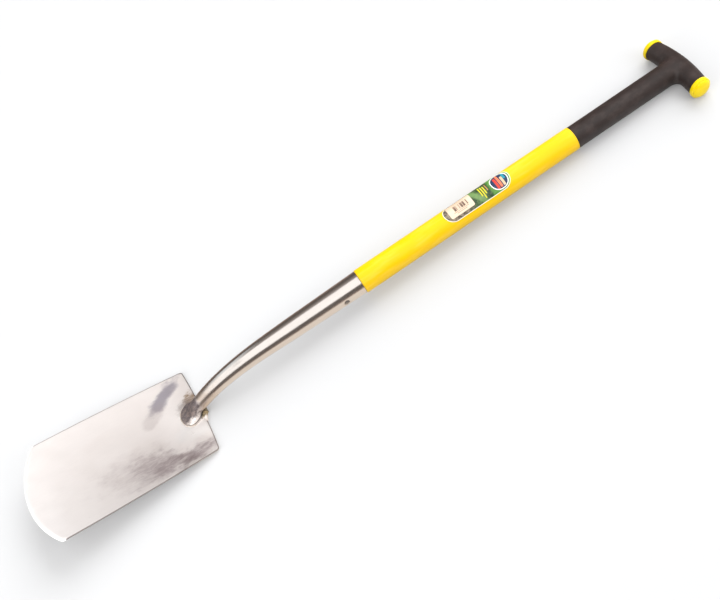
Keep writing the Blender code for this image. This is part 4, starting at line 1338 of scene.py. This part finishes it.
def neck_finish():
    """Polished tube: lengthwise polishing lines, brown heat tint toward the weld, a dark ring round the rivet
    that is grime and painted shade, and a foot that is dark and blasted on one side and painted pale on the
    other as a painted highlight."""
    colours = sizes("finish")
    base = tuple(colours.neck)
    f = SheetFinish("polished stainless")
    lines = f.noise(f.grain(0.05, 0.0005), detail=4.0, rough=0.7)
    cloud = f.noise(f.grain(0.05, 0.012))
    grit = f.noise(f.on_blade(0.0016, 0.0010), detail=5.0, rough=0.75)
    blotch = f.noise(f.on_blade(0.008, 0.005), rough=0.6)
    ragged = f.spread(f.noise(f.on_blade(0.006, 0.006)), 0.2, 0.8, -0.005, 0.005)
    down = f.down + ragged
    side = f.over + ragged
    foot = f.spread(down, -0.008, 0.001, kind="SMOOTHSTEP")
    dull = foot * f.spread(side, -0.017, -0.009, kind="SMOOTHSTEP")
    # The foot's near side is painted pale and given less metal so that it shows bright: a painted highlight
    # that runs into the blade's.
    pale = foot * f.spread(side, -0.017, -0.009, 1.0, 0.0, "SMOOTHSTEP")
    hot = f.spread(down, -0.055, -0.004, kind="SMOOTHSTEP") * f.swing(cloud, 0.5, 1.0)
    dark = f.mix(f.spread(grit, 0.35, 0.65), (0.12, 0.10, 0.10), (0.30, 0.26, 0.265))
    dark = f.mix(f.spread(blotch, 0.45, 0.62, 0.0, 0.7), dark, (0.40, 0.33, 0.30))
    x, _, z = f.axes(f.grain(1.0))
    # A dark ring round the rivet's head: grime, and painted shade where the head meets the tube.
    off = f.far(x + sizes("weld").rivet_place, z) + f.swing(grit, -0.0006, 0.0006)
    grime_and_shade = f.spread(off, 0.0036, 0.0052, 0.9, 0.0)
    tint = f.layered(
        base,
        (f.swing(cloud, 0.0, 0.5), tinted(base, 0.9)),
        (f.swing(lines, 0.0, 0.15), tinted(base, 0.6)),
        (hot * 0.55, tuple(colours.heat)),
        (foot * 0.8, (0.86, 0.82, 0.79)),
        (dull, dark),
        (grime_and_shade, (0.16, 0.13, 0.11)))
    rough = f.swing(cloud, 0.15, 0.20) + f.swing(lines, -0.02, 0.05)
    rough = rough + grime_and_shade * 0.3 + hot * 0.20 + foot * 0.10 + dull * 0.12
    normal = f.bumps((lines, 0.00002), (grit * dull, 0.00030))
    metal = f.spread(pale, 0.0, 1.0, 1.0, 0.25)
    return f.paint(Base_Color=tint, Metallic=metal, Roughness=rough, Normal=normal)


def weld_finish(name, base, straw, metal=1.0, bright=1.0):
    """Weld metal with straw and grey heat bands and fine grit. Away from the tube it is painted lighter, by
    the share
    `bright`, as a painted highlight.
    """
    f = SheetFinish(name, Metallic=metal)
    cloud = f.noise(f.grain(0.004))
    grit = f.noise(f.grain(0.0009), detail=4.0, rough=0.7)
    away = abs(f.over) + f.swing(cloud, -0.001, 0.001)
    tint = f.layered(
        base,
        (f.spread(cloud, 0.40, 0.55), straw),
        (f.spread(cloud, 0.58, 0.72, 0.0, 0.6), tinted(base, 1.5)),
        # Lighter away from the tube: painted highlight, by the share bright.
        (f.spread(away, 0.0135, 0.0165) * bright, (0.74, 0.685, 0.65)),
        (f.spread(grit, 0.5, 0.8, 0.0, 0.5), tinted(base, 0.5)))
    return f.paint(Base_Color=tint, Roughness=f.swing(grit, 0.32, 0.55), Normal=f.bumps((grit, 0.00010)))


def rivet_finish():
    base = tuple(sizes("finish").rivet)
    f = Finish("dull steel", Metallic=1.0)
    cloud = f.noise(f.grain(0.0015), detail=4.0, rough=0.6)
    tint = f.mix(f.spread(cloud, 0.35, 0.7), base, tinted(base, 0.45))
    return f.paint(Base_Color=tint, Roughness=f.swing(cloud, 0.30, 0.50), Normal=f.bumps((cloud, 0.00008)))


def yellow_plastic(name, base, rough):
    """Moulded plastic: faint mottling, fine moulding texture, a few rubbed lines, and pale patches of painted
    sheen.
    """
    r, g, b = base
    f = Finish(name, Specular_IOR_Level=0.25)
    cloud = f.noise(f.grain(0.035, 0.012))
    skin = f.noise(f.grain(0.0008), rough=0.6)
    line = f.spread(f.noise(f.grain(0.040, 0.0009), rough=0.75), 0.66, 0.76)
    # Pale patches here and there: painted sheen, standing in for the plastic's soft highlights.
    painted_sheen = f.spread(f.noise(f.grain(0.060, 0.008)), 0.50, 0.66, 0.0, 0.30)
    tint = f.layered(
        base,
        (f.swing(cloud, 0.0, 0.6), (r * 0.97, g * 0.93, b)),
        (painted_sheen, (r * 1.06, g * 1.18, 0.07)),
        (line * 0.10, (r * 0.85, g * 0.78, b * 0.8)))
    shine = f.swing(cloud, rough - 0.03, rough + 0.03) + line * 0.10
    return f.paint(Base_Color=tint, Roughness=shine, Normal=f.bumps((skin, 0.00002), (line, -0.00001)))


def jacket_finish():
    return yellow_plastic("yellow plastic", tuple(sizes("finish").jacket), 0.36)


def cap_finish():
    return yellow_plastic("yellow cap plastic", tuple(sizes("finish").cap), 0.30)


def grip_finish():
    """Soft black rubber with a fine pebble grain and a little dust in it."""
    base = tuple(sizes("finish").grip)
    f = Finish("soft black rubber", Specular_IOR_Level=0.50)
    pebble = f.cells(0.0009)
    fine = f.noise(f.grain(0.0005), detail=2.0)
    cloud = f.noise(f.grain(0.030, 0.014), detail=4.0, rough=0.6)
    dust = f.spread(f.noise(f.grain(0.016, 0.010), detail=5.0, rough=0.62), 0.45, 0.66)
    tint = f.layered(
        tinted(base, 0.75),
        (f.swing(cloud), tinted(base, 1.25)),
        (dust * 0.36, (0.048, 0.034, 0.031)),
        (f.spread(pebble, 0.1, 0.6, 0.25, 0.0), tinted(base, 1.7)))
    normal = f.bumps((pebble, -0.00008), (fine, 0.00003))
    return f.paint(Base_Color=tint, Roughness=f.swing(cloud, 0.46, 0.58), Normal=normal)


class Print(Finish):
    """A printed surface. Places on it are in millimetres along and across."""

    def __init__(self, name, **even):
        super().__init__(name, **even)
        inputs = {"Vector": self.field("UVMap", uv_map="print"), "Scale": (200.0, 200.0, 1.0),
                  "Location": (0.0, -100.0, 0.0)}
        self.place = self.field("Mapping", inputs)
        self.along, self.across, _ = self.axes(self.place)

    def block(self, along, across, length, width, corner=0.0, blur=0.12):
        """1 inside a rectangle with rounded corners, given by its middle and its size."""
        out = []
        for value, middle, size in ((self.along, along, length), (self.across, across, width)):
            out.append(self.sum("MAXIMUM", abs(value - middle) - (size / 2 - corner), 0.0))
        return self.spread(self.far(*out), corner - blur if corner else 0.0, corner + blur, 1.0, 0.0)


def label_finish():
    """Green film with a pale edge, plain coloured bars and a dark blue field. It holds no words or signs."""
    long = sizes("label").length * 1000
    wide = sizes("label").width * 1000
    f = Print("label print", Coat_Weight=0.15, Coat_Roughness=0.20, Specular_IOR_Level=0.35)
    cloud = f.noise(f.place, 0.10, 3.0, 0.6)
    leaf = f.noise(f.place, 0.30, 2.0, 0.6)
    wear = f.noise(f.place, 0.8, 5.0, 0.7)
    soil = f.noise(f.place, 0.22, 3.0, 0.55)
    band = f.along + f.across * 0.6
    stripe = f.spread(band, 49.0, 52.0) * f.spread(band, 58.0, 63.0, 1.0, 0.0)
    bars = ((63.5, 2.0, 17.0), (67.0, -1.0, 21.0), (70.5, 1.0, 14.0))
    earth = f.mix(f.spread(soil, 0.40, 0.66), (0.060, 0.045, 0.034), (0.28, 0.225, 0.17))
    middle = long - 17.0
    shades = ((-5.5, -1.5, 19.0, (0.50, 0.035, 0.02)), (-0.5, 0.5, 22.0, (0.55, 0.15, 0.07)),
              (4.6, -3.0, 15.0, (0.50, 0.38, 0.24)), (8.6, 3.5, 10.0, (0.01, 0.20, 0.27)))
    field = f.layered(
        (0.006, 0.016, 0.050),
        (f.spread(f.noise(f.place, 0.2, 2.0), 0.4, 0.6), (0.012, 0.032, 0.075)),
        *((f.block(middle + at, across, 3.6, width, 0.8), tone) for at, across, width, tone in shades),
    )
    tint = f.layered(
        tuple(sizes("finish").label),
        (f.spread(cloud, 0.46, 0.62), (0.055, 0.105, 0.035)),
        (f.spread(leaf, 0.48, 0.68, 0.0, 0.6), (0.10, 0.145, 0.055)),
        (stripe * 0.55, (0.17, 0.30, 0.10)),
        (f.spread(f.along, 76.0, 80.0, 0.0, 0.5), (0.10, 0.30, 0.04)),
        *((f.block(at, across, 1.7, width, 0.6), (0.50, 0.47, 0.01)) for at, across, width in bars),
        (f.block(74.5, 3.0, 1.0, 12.0, 0.3), (0.50, 0.24, 0.08)),
        (f.spread(f.along, 34.0, 50.0, 0.9, 0.0), earth),
        (f.block(middle, 0.0, 28.0, 27.0, 12.8), (0.72, 0.72, 0.71)),
        (f.block(middle, 0.0, 25.4, 24.4, 11.6), field))
    inside = f.block(long / 2, 0.0, long - 1.8, wide - 1.8, wide / 2 - 0.9)
    tint = f.mix(inside, (0.70, 0.68, 0.62), tint)
    tint = f.mix(f.spread(wear, 0.60, 0.78, 0.0, 0.18), tint, (0.30, 0.30, 0.25))
    normal = f.bumps((f.noise(f.place, 0.25, 2.0), 0.00005))
    return f.paint(Base_Color=tint, Roughness=f.swing(wear, 0.32, 0.46), Normal=normal)


def sticker_finish():
    """Cream paper with plain upright bars and rules, painted darker toward one side as painted shade. It
    holds no words or numbers.
    """
    base = tuple(sizes("finish").sticker)
    f = Print("sticker print")
    fibre = f.noise(f.place, 1.6, 5.0, 0.7)
    stain = f.noise(f.place, 0.12, 3.0)
    pick = f.field("TexWhiteNoise", {"W": f.sum("FLOOR", f.along * 1.35)}, noise_dimensions="1D")
    bars = f.sum("GREATER_THAN", pick, 0.42) * f.block(21.5, 0.5, 23.0, 9.0)
    rules = ((7.6, 20.0), (-5.6, 25.0), (-7.8, 17.0))
    # Darker toward one side of the sticker: painted shade, as on a side turned from the light.
    shade = f.spread(f.across + f.along * -0.12, -3.0, 8.0, 0.0, 0.65)
    tint = f.layered(
        base,
        (f.swing(fibre, 0.0, 0.3), tinted(base, 0.85)),
        (f.spread(stain, 0.45, 0.7, 0.0, 0.5), (0.66, 0.50, 0.36)),
        (f.block(21.5, 0.5, 24.0, 9.6) * 0.30, (0.30, 0.19, 0.13)),
        (bars * 0.92, (0.075, 0.040, 0.030)),
        *((f.block(20.0, across, length, 0.8) * 0.7, (0.16, 0.09, 0.06)) for across, length in rules),
        (shade, (0.40, 0.29, 0.20)))
    return f.paint(Base_Color=tint, Roughness=f.swing(fibre, 0.50, 0.65), Normal=f.bumps((fibre, 0.00003)))


def fibreglass_finish():
    f = Finish("fibreglass")
    strands = f.noise(f.grain(0.08, 0.0007), detail=4.0, rough=0.7)
    tint = f.mix(f.swing(strands), (0.62, 0.58, 0.44), (0.80, 0.77, 0.64))
    return f.paint(Base_Color=tint, Roughness=f.swing(strands, 0.35, 0.55), Normal=f.bumps((strands, 0.0001)))


def foam_finish():
    f = Finish("rigid foam")
    cell = f.cells(0.0012)
    tint = f.mix(f.spread(cell, 0.0, 0.7), (0.62, 0.55, 0.36), (0.86, 0.81, 0.64))
    rough = f.spread(cell, 0.0, 0.7, 0.85, 0.98)
    return f.paint(Base_Color=tint, Roughness=rough, Normal=f.bumps((cell, 0.0004)))


def moulded_finish(name, grey):
    base = (grey, grey, grey)
    f = Finish(name)
    skin = f.noise(f.grain(0.0010), detail=4.0, rough=0.6)
    tint = f.mix(f.swing(f.noise(f.grain(0.015, 0.008))), base, tinted(base, 1.4))
    return f.paint(Base_Color=tint, Roughness=f.swing(skin, 0.42, 0.60), Normal=f.bumps((skin, 0.00006)))


def dress_inner():
    """Gives the solids inside the shaft and the grip their finishes."""
    plug = moulded_finish("plug plastic", 0.09)
    finishes = {
        "shaft_core": fibreglass_finish(),
        "shaft_foam": foam_finish(),
        "shaft_plug_lower": plug,
        "shaft_plug_upper": plug,
        "grip_core": moulded_finish("hard black plastic", 0.022),
    }
    for name, finish in finishes.items():
        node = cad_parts[name]
        if not node.data.materials:
            node.data.materials.append(finish)
        for slot in node.material_slots:
            slot.link = "OBJECT"
            slot.material = finish


# Studio

def floor_finish():
    """Pale matte paper with a faint tone in it, graded to look even in the light and to end in white."""
    base = tuple(sizes("finish").floor)
    glow = sizes("studio").floor_glow
    end = (1.0 / glow, 1.0 / glow, 1.0 / glow)
    f = Finish("pale floor", Roughness=1.0, Specular_IOR_Level=0.0, Emission_Strength=glow)
    x, y, _ = f.axes(f.spot())
    slope = y * 0.086 + x * -0.053
    away = f.spread(f.far(x, y), 1.6, 4.2)
    tint = f.layered(
        tinted(base, 0.70),
        (f.spread(slope, -0.10, 0.15), tinted(base, 0.95)),
        (f.swing(f.noise(f.spot(), 2.0), 0.0, 0.01), black),
        (away, black))
    return f.paint(Base_Color=tint, Emission_Color=f.mix(away, white, end))


def card_finish():
    """Matte dark card with a faint weave."""
    f = Finish("dark card", Roughness=0.9)
    weave = f.swing(f.noise(f.spot(), 40.0))
    return f.paint(Base_Color=f.mix(weave, (0.16, 0.117, 0.096), (0.19, 0.139, 0.114)))


def warm_card_finish():
    """Pale warm card that gives off a little light."""
    f = Finish("warm card", Roughness=0.9, Emission_Strength=1.0, Base_Color=(0.15, 0.13, 0.11))
    weave = f.swing(f.noise(f.spot(), 40.0))
    return f.paint(Emission_Color=f.mix(weave, (0.98, 0.90, 0.80), (1.0, 0.92, 0.82)))


def cloth_finish(name, dimmed):
    """Lit cloth as the steel mirrors it, dimmer by a share where the blade, seen from above, mirrors it."""
    studio = sizes("studio")
    f = Finish(name, Roughness=0.9, Emission_Strength=1.0, Base_Color=black)
    f.made.cycles.emission_sampling = "NONE"
    as_bright = math.pi / 2
    levels = studio.blade_light, studio.box_light * as_bright
    dim, full = ((tone, tone * 0.99, tone * 0.98) for tone in levels)
    x, y, _ = f.axes(f.spot())
    reach = [f.spread(abs(spot - middle), half * 0.75, half * 1.2, 1.0 - dimmed, 1.0)
             for spot, middle, half in ((x, -0.20, 0.52), (y, 0.0, 0.50))]
    return f.paint(Emission_Color=f.mix(f.sum("MAXIMUM", *reach), dim, full))


def sheet(name, low, high, height, finish):
    corners = [(low[0], low[1]), (high[0], low[1]), (high[0], high[1]), (low[0], high[1])]
    laid = placed(name, outlined(name, [(x, y, height) for x, y in corners], [(0, 1, 2, 3)]))
    laid.data.materials.append(finish)
    return laid


def mirrored_sheet(*how):
    """A sheet that only a mirror image shows."""
    card = sheet(*how)
    card.visible_camera = False
    card.visible_diffuse = False
    card.visible_shadow = False
    card.visible_transmission = False


def make_floor():
    """The floor, and the cards and the softbox's cloth that the steel mirrors."""
    studio = sizes("studio")
    half = studio.floor_width / 2
    sheet("floor", (-half, -half), (half, half), 0.0, floor_finish())
    half = studio.card_width / 2
    near, far = studio.card_near, studio.card_far
    over_floor, over_cards = 0.0005, 0.0006
    dark = card_finish()
    mirrored_sheet("near card", (-half, -half), (half, -near), over_floor, dark)
    mirrored_sheet("far card", (-half, far), (half, half), over_floor, dark)
    mirrored_sheet("warm card", (-0.34, -near), (0.02, -0.010), over_cards, warm_card_finish())
    near, far = -studio.box_near, studio.box_far
    reach = studio.box_length / 2
    lit = cloth_finish("softbox cloth", 1.0)
    mirrored_sheet("softbox cloth", (-studio.cloth_reach, near), (reach, far), studio.box_height, lit)
    rise = studio.neck_card / studio.box_height
    lit = cloth_finish("neck card", 0.0)
    mirrored_sheet("neck card", (-0.27, near * rise), (0.03, far * rise), studio.neck_card + 0.03, lit)


def softbox(name, spot, aim, length, width, brightness, tint, mirrored=False):
    lamp = bpy.data.lights.new(name, "AREA")
    lamp.shape = "RECTANGLE"
    lamp.size = length
    lamp.size_y = width
    lamp.energy = brightness * math.pi * length * width
    lamp.color = tint
    box = placed(name, lamp)
    turn = (Vector(spot) - Vector(aim)).to_track_quat("Z", "Y")
    box.matrix_world = Matrix.Translation(spot) @ turn.to_matrix().to_4x4()
    box.visible_camera = False
    box.visible_glossy = mirrored


def make_lights():
    studio = sizes("studio")
    warm = (1.0, 0.99, 0.98)
    centre = (0.0, 0.0, 0.0)
    height = studio.box_height
    middle = (studio.box_far - studio.box_near) / 2
    length, width = studio.box_length, studio.box_near + studio.box_far
    spot, aim = (0.0, middle, height), (0.0, middle, 0.0)
    softbox("overhead softbox", spot, aim, length, width, studio.box_light, warm)
    away, side = studio.side_distance, studio.side_width
    spot = (away * 0.82, away * 0.57, studio.side_height)
    softbox("side softbox", spot, centre, side, side, studio.side_light, (1.0, 0.99, 0.985))
    away, side = studio.fill_distance, studio.fill_width
    for name, along, over in (("near left softbox", -1.4, -0.55), ("near right softbox", 1.0, -1.0)):
        spot = (along * away, over * away, studio.fill_height)
        softbox(name, spot, centre, side, side, studio.fill_light, warm)
    x, y = -1.25, 1.6
    cool = (0.875, 0.955, 1.0)
    softbox("far softbox", (x, y, height), (x, y, 0.0), 1.2, 2.2, studio.far_light, cool, mirrored=True)


def make_surroundings():
    """What the steel mirrors beside the softbox: dim walls, and pale ones where the camera looks."""
    world = bpy.data.worlds.new("studio")
    world.use_nodes = True
    w = Nodes(world.node_tree)
    _, y, z = w.axes(w.field("TexCoord", output="Generated"))
    part = w.spread(w.sum("ARCTAN2", y * -1.0, z), -math.pi, math.pi)
    ramp = w.add("ValToRGB", {0: part})
    stops = ((-100, 0.15), (-60, 0.20), (-45, 0.32), (-30, 0.55), (-20, 0.80), (45, 0.5), (60, 0.22),
             (105, 0.20), (118, 0.9))
    rise = ramp.color_ramp.elements
    for turn, tone in stops:
        low = min(tone, 0.8)
        warm = (tone, tone * (0.83 + 0.14 * low), tone * (0.74 + 0.22 * low), 1.0)
        rise.new((turn + 180) / 360).color = warm
    rise[0].color = (0.16, 0.135, 0.125, 1.0)
    rise[-1].color = (0.9, 0.84, 0.80, 1.0)
    direct = w.field("LightPath", output="Is Camera Ray")
    w.feed(w.tree.nodes["Background"].inputs["Color"], w.mix(direct, ramp.outputs[0], white))
    bpy.context.scene.world = world


def make_camera():
    studio = sizes("studio")
    e, r, y = studio.elevation, studio.roll, studio.yaw
    right = Vector((math.cos(y), math.sin(y), 0.0))
    back = Vector((math.sin(y) * math.cos(e), -math.cos(y) * math.cos(e), math.sin(e)))
    up = back.cross(right)
    spot = Vector((studio.aim_along, 0.0, 0.0)) + back * studio.distance + up * studio.aim_up
    across = right * math.cos(r) - up * math.sin(r)
    above = right * math.sin(r) + up * math.cos(r)
    lens = bpy.data.cameras.new("camera")
    lens.sensor_width = 36.0
    lens.lens = studio.lens
    lens.clip_start = 0.01
    lens.clip_end = 50.0
    camera = placed("camera", lens)
    turn = Matrix((across, above, back)).transposed().to_4x4()
    camera.matrix_world = lying() @ Matrix.Translation(spot) @ turn
    bpy.context.scene.camera = camera


# Operators

class SPADE_OT_studio(bpy.types.Operator):
    """Makes the floor, the lights and the camera"""

    bl_idname = "spade.studio"
    bl_label = "Studio"

    def execute(self, context):
        make_floor()
        make_lights()
        make_surroundings()
        make_camera()
        context.scene.view_settings.view_transform = "Standard"
        return {"FINISHED"}


class SPADE_OT_blade(bpy.types.Operator):
    """Makes the dished blade with its ground cutting edge"""

    bl_idname = "spade.blade"
    bl_label = "Blade"

    def execute(self, context):
        make_blade()
        return {"FINISHED"}


class SPADE_OT_neck(bpy.types.Operator):
    """Makes the bent steel neck with its flattened foot"""

    bl_idname = "spade.neck"
    bl_label = "Neck"

    def execute(self, context):
        make_neck()
        return {"FINISHED"}


class SPADE_OT_welds(bpy.types.Operator):
    """Makes the bead and the fillet that hold the neck to the blade"""

    bl_idname = "spade.welds"
    bl_label = "Welds"

    def execute(self, context):
        make_welds()
        return {"FINISHED"}


class SPADE_OT_rivet(bpy.types.Operator):
    """Makes the rivet through the neck"""

    bl_idname = "spade.rivet"
    bl_label = "Rivet"

    def execute(self, context):
        make_rivet()
        return {"FINISHED"}


class SPADE_OT_shaft(bpy.types.Operator):
    """Makes the shaft's yellow jacket and finishes what is inside it"""

    bl_idname = "spade.shaft"
    bl_label = "Shaft"

    def execute(self, context):
        make_jacket()
        dress_inner()
        return {"FINISHED"}


class SPADE_OT_grip(bpy.types.Operator):
    """Makes the T grip and its two caps"""

    bl_idname = "spade.grip"
    bl_label = "Grip"

    def execute(self, context):
        make_grip()
        return {"FINISHED"}


class SPADE_OT_labels(bpy.types.Operator):
    """Makes the printed label and the sticker on it"""

    bl_idname = "spade.labels"
    bl_label = "Labels"

    def execute(self, context):
        make_labels()
        return {"FINISHED"}


class SPADE_PT_panel(bpy.types.Panel):
    """Lists the sizes and the steps"""

    bl_idname = "SPADE_PT_panel"
    bl_label = "Spade"
    bl_space_type = "VIEW_3D"
    bl_region_type = "UI"
    bl_category = "Spade"

    def draw(self, context):
        for step in steps:
            self.layout.operator(step.bl_idname)
        for group, kind in size_groups.items():
            box = self.layout.box()
            box.label(text=kind.__doc__)
            for name in kind.__annotations__:
                box.prop(getattr(context.scene, "spade_" + group), name)


steps = (
    SPADE_OT_studio,
    SPADE_OT_blade,
    SPADE_OT_neck,
    SPADE_OT_welds,
    SPADE_OT_rivet,
    SPADE_OT_shaft,
    SPADE_OT_grip,
    SPADE_OT_labels,
)


def register():
    for kind in (*size_groups.values(), *steps, SPADE_PT_panel):
        bpy.utils.register_class(kind)
    for group, kind in size_groups.items():
        setattr(bpy.types.Scene, "spade_" + group, PointerProperty(type=kind))


def unregister():
    for group in size_groups:
        delattr(bpy.types.Scene, "spade_" + group)
    for kind in reversed((*size_groups.values(), *steps, SPADE_PT_panel)):
        bpy.utils.unregister_class(kind)


def main():
    register()
    for step in steps:
        getattr(bpy.ops.spade, step.bl_idname.split(".")[1])()


if __name__ == "__main__":
    main()
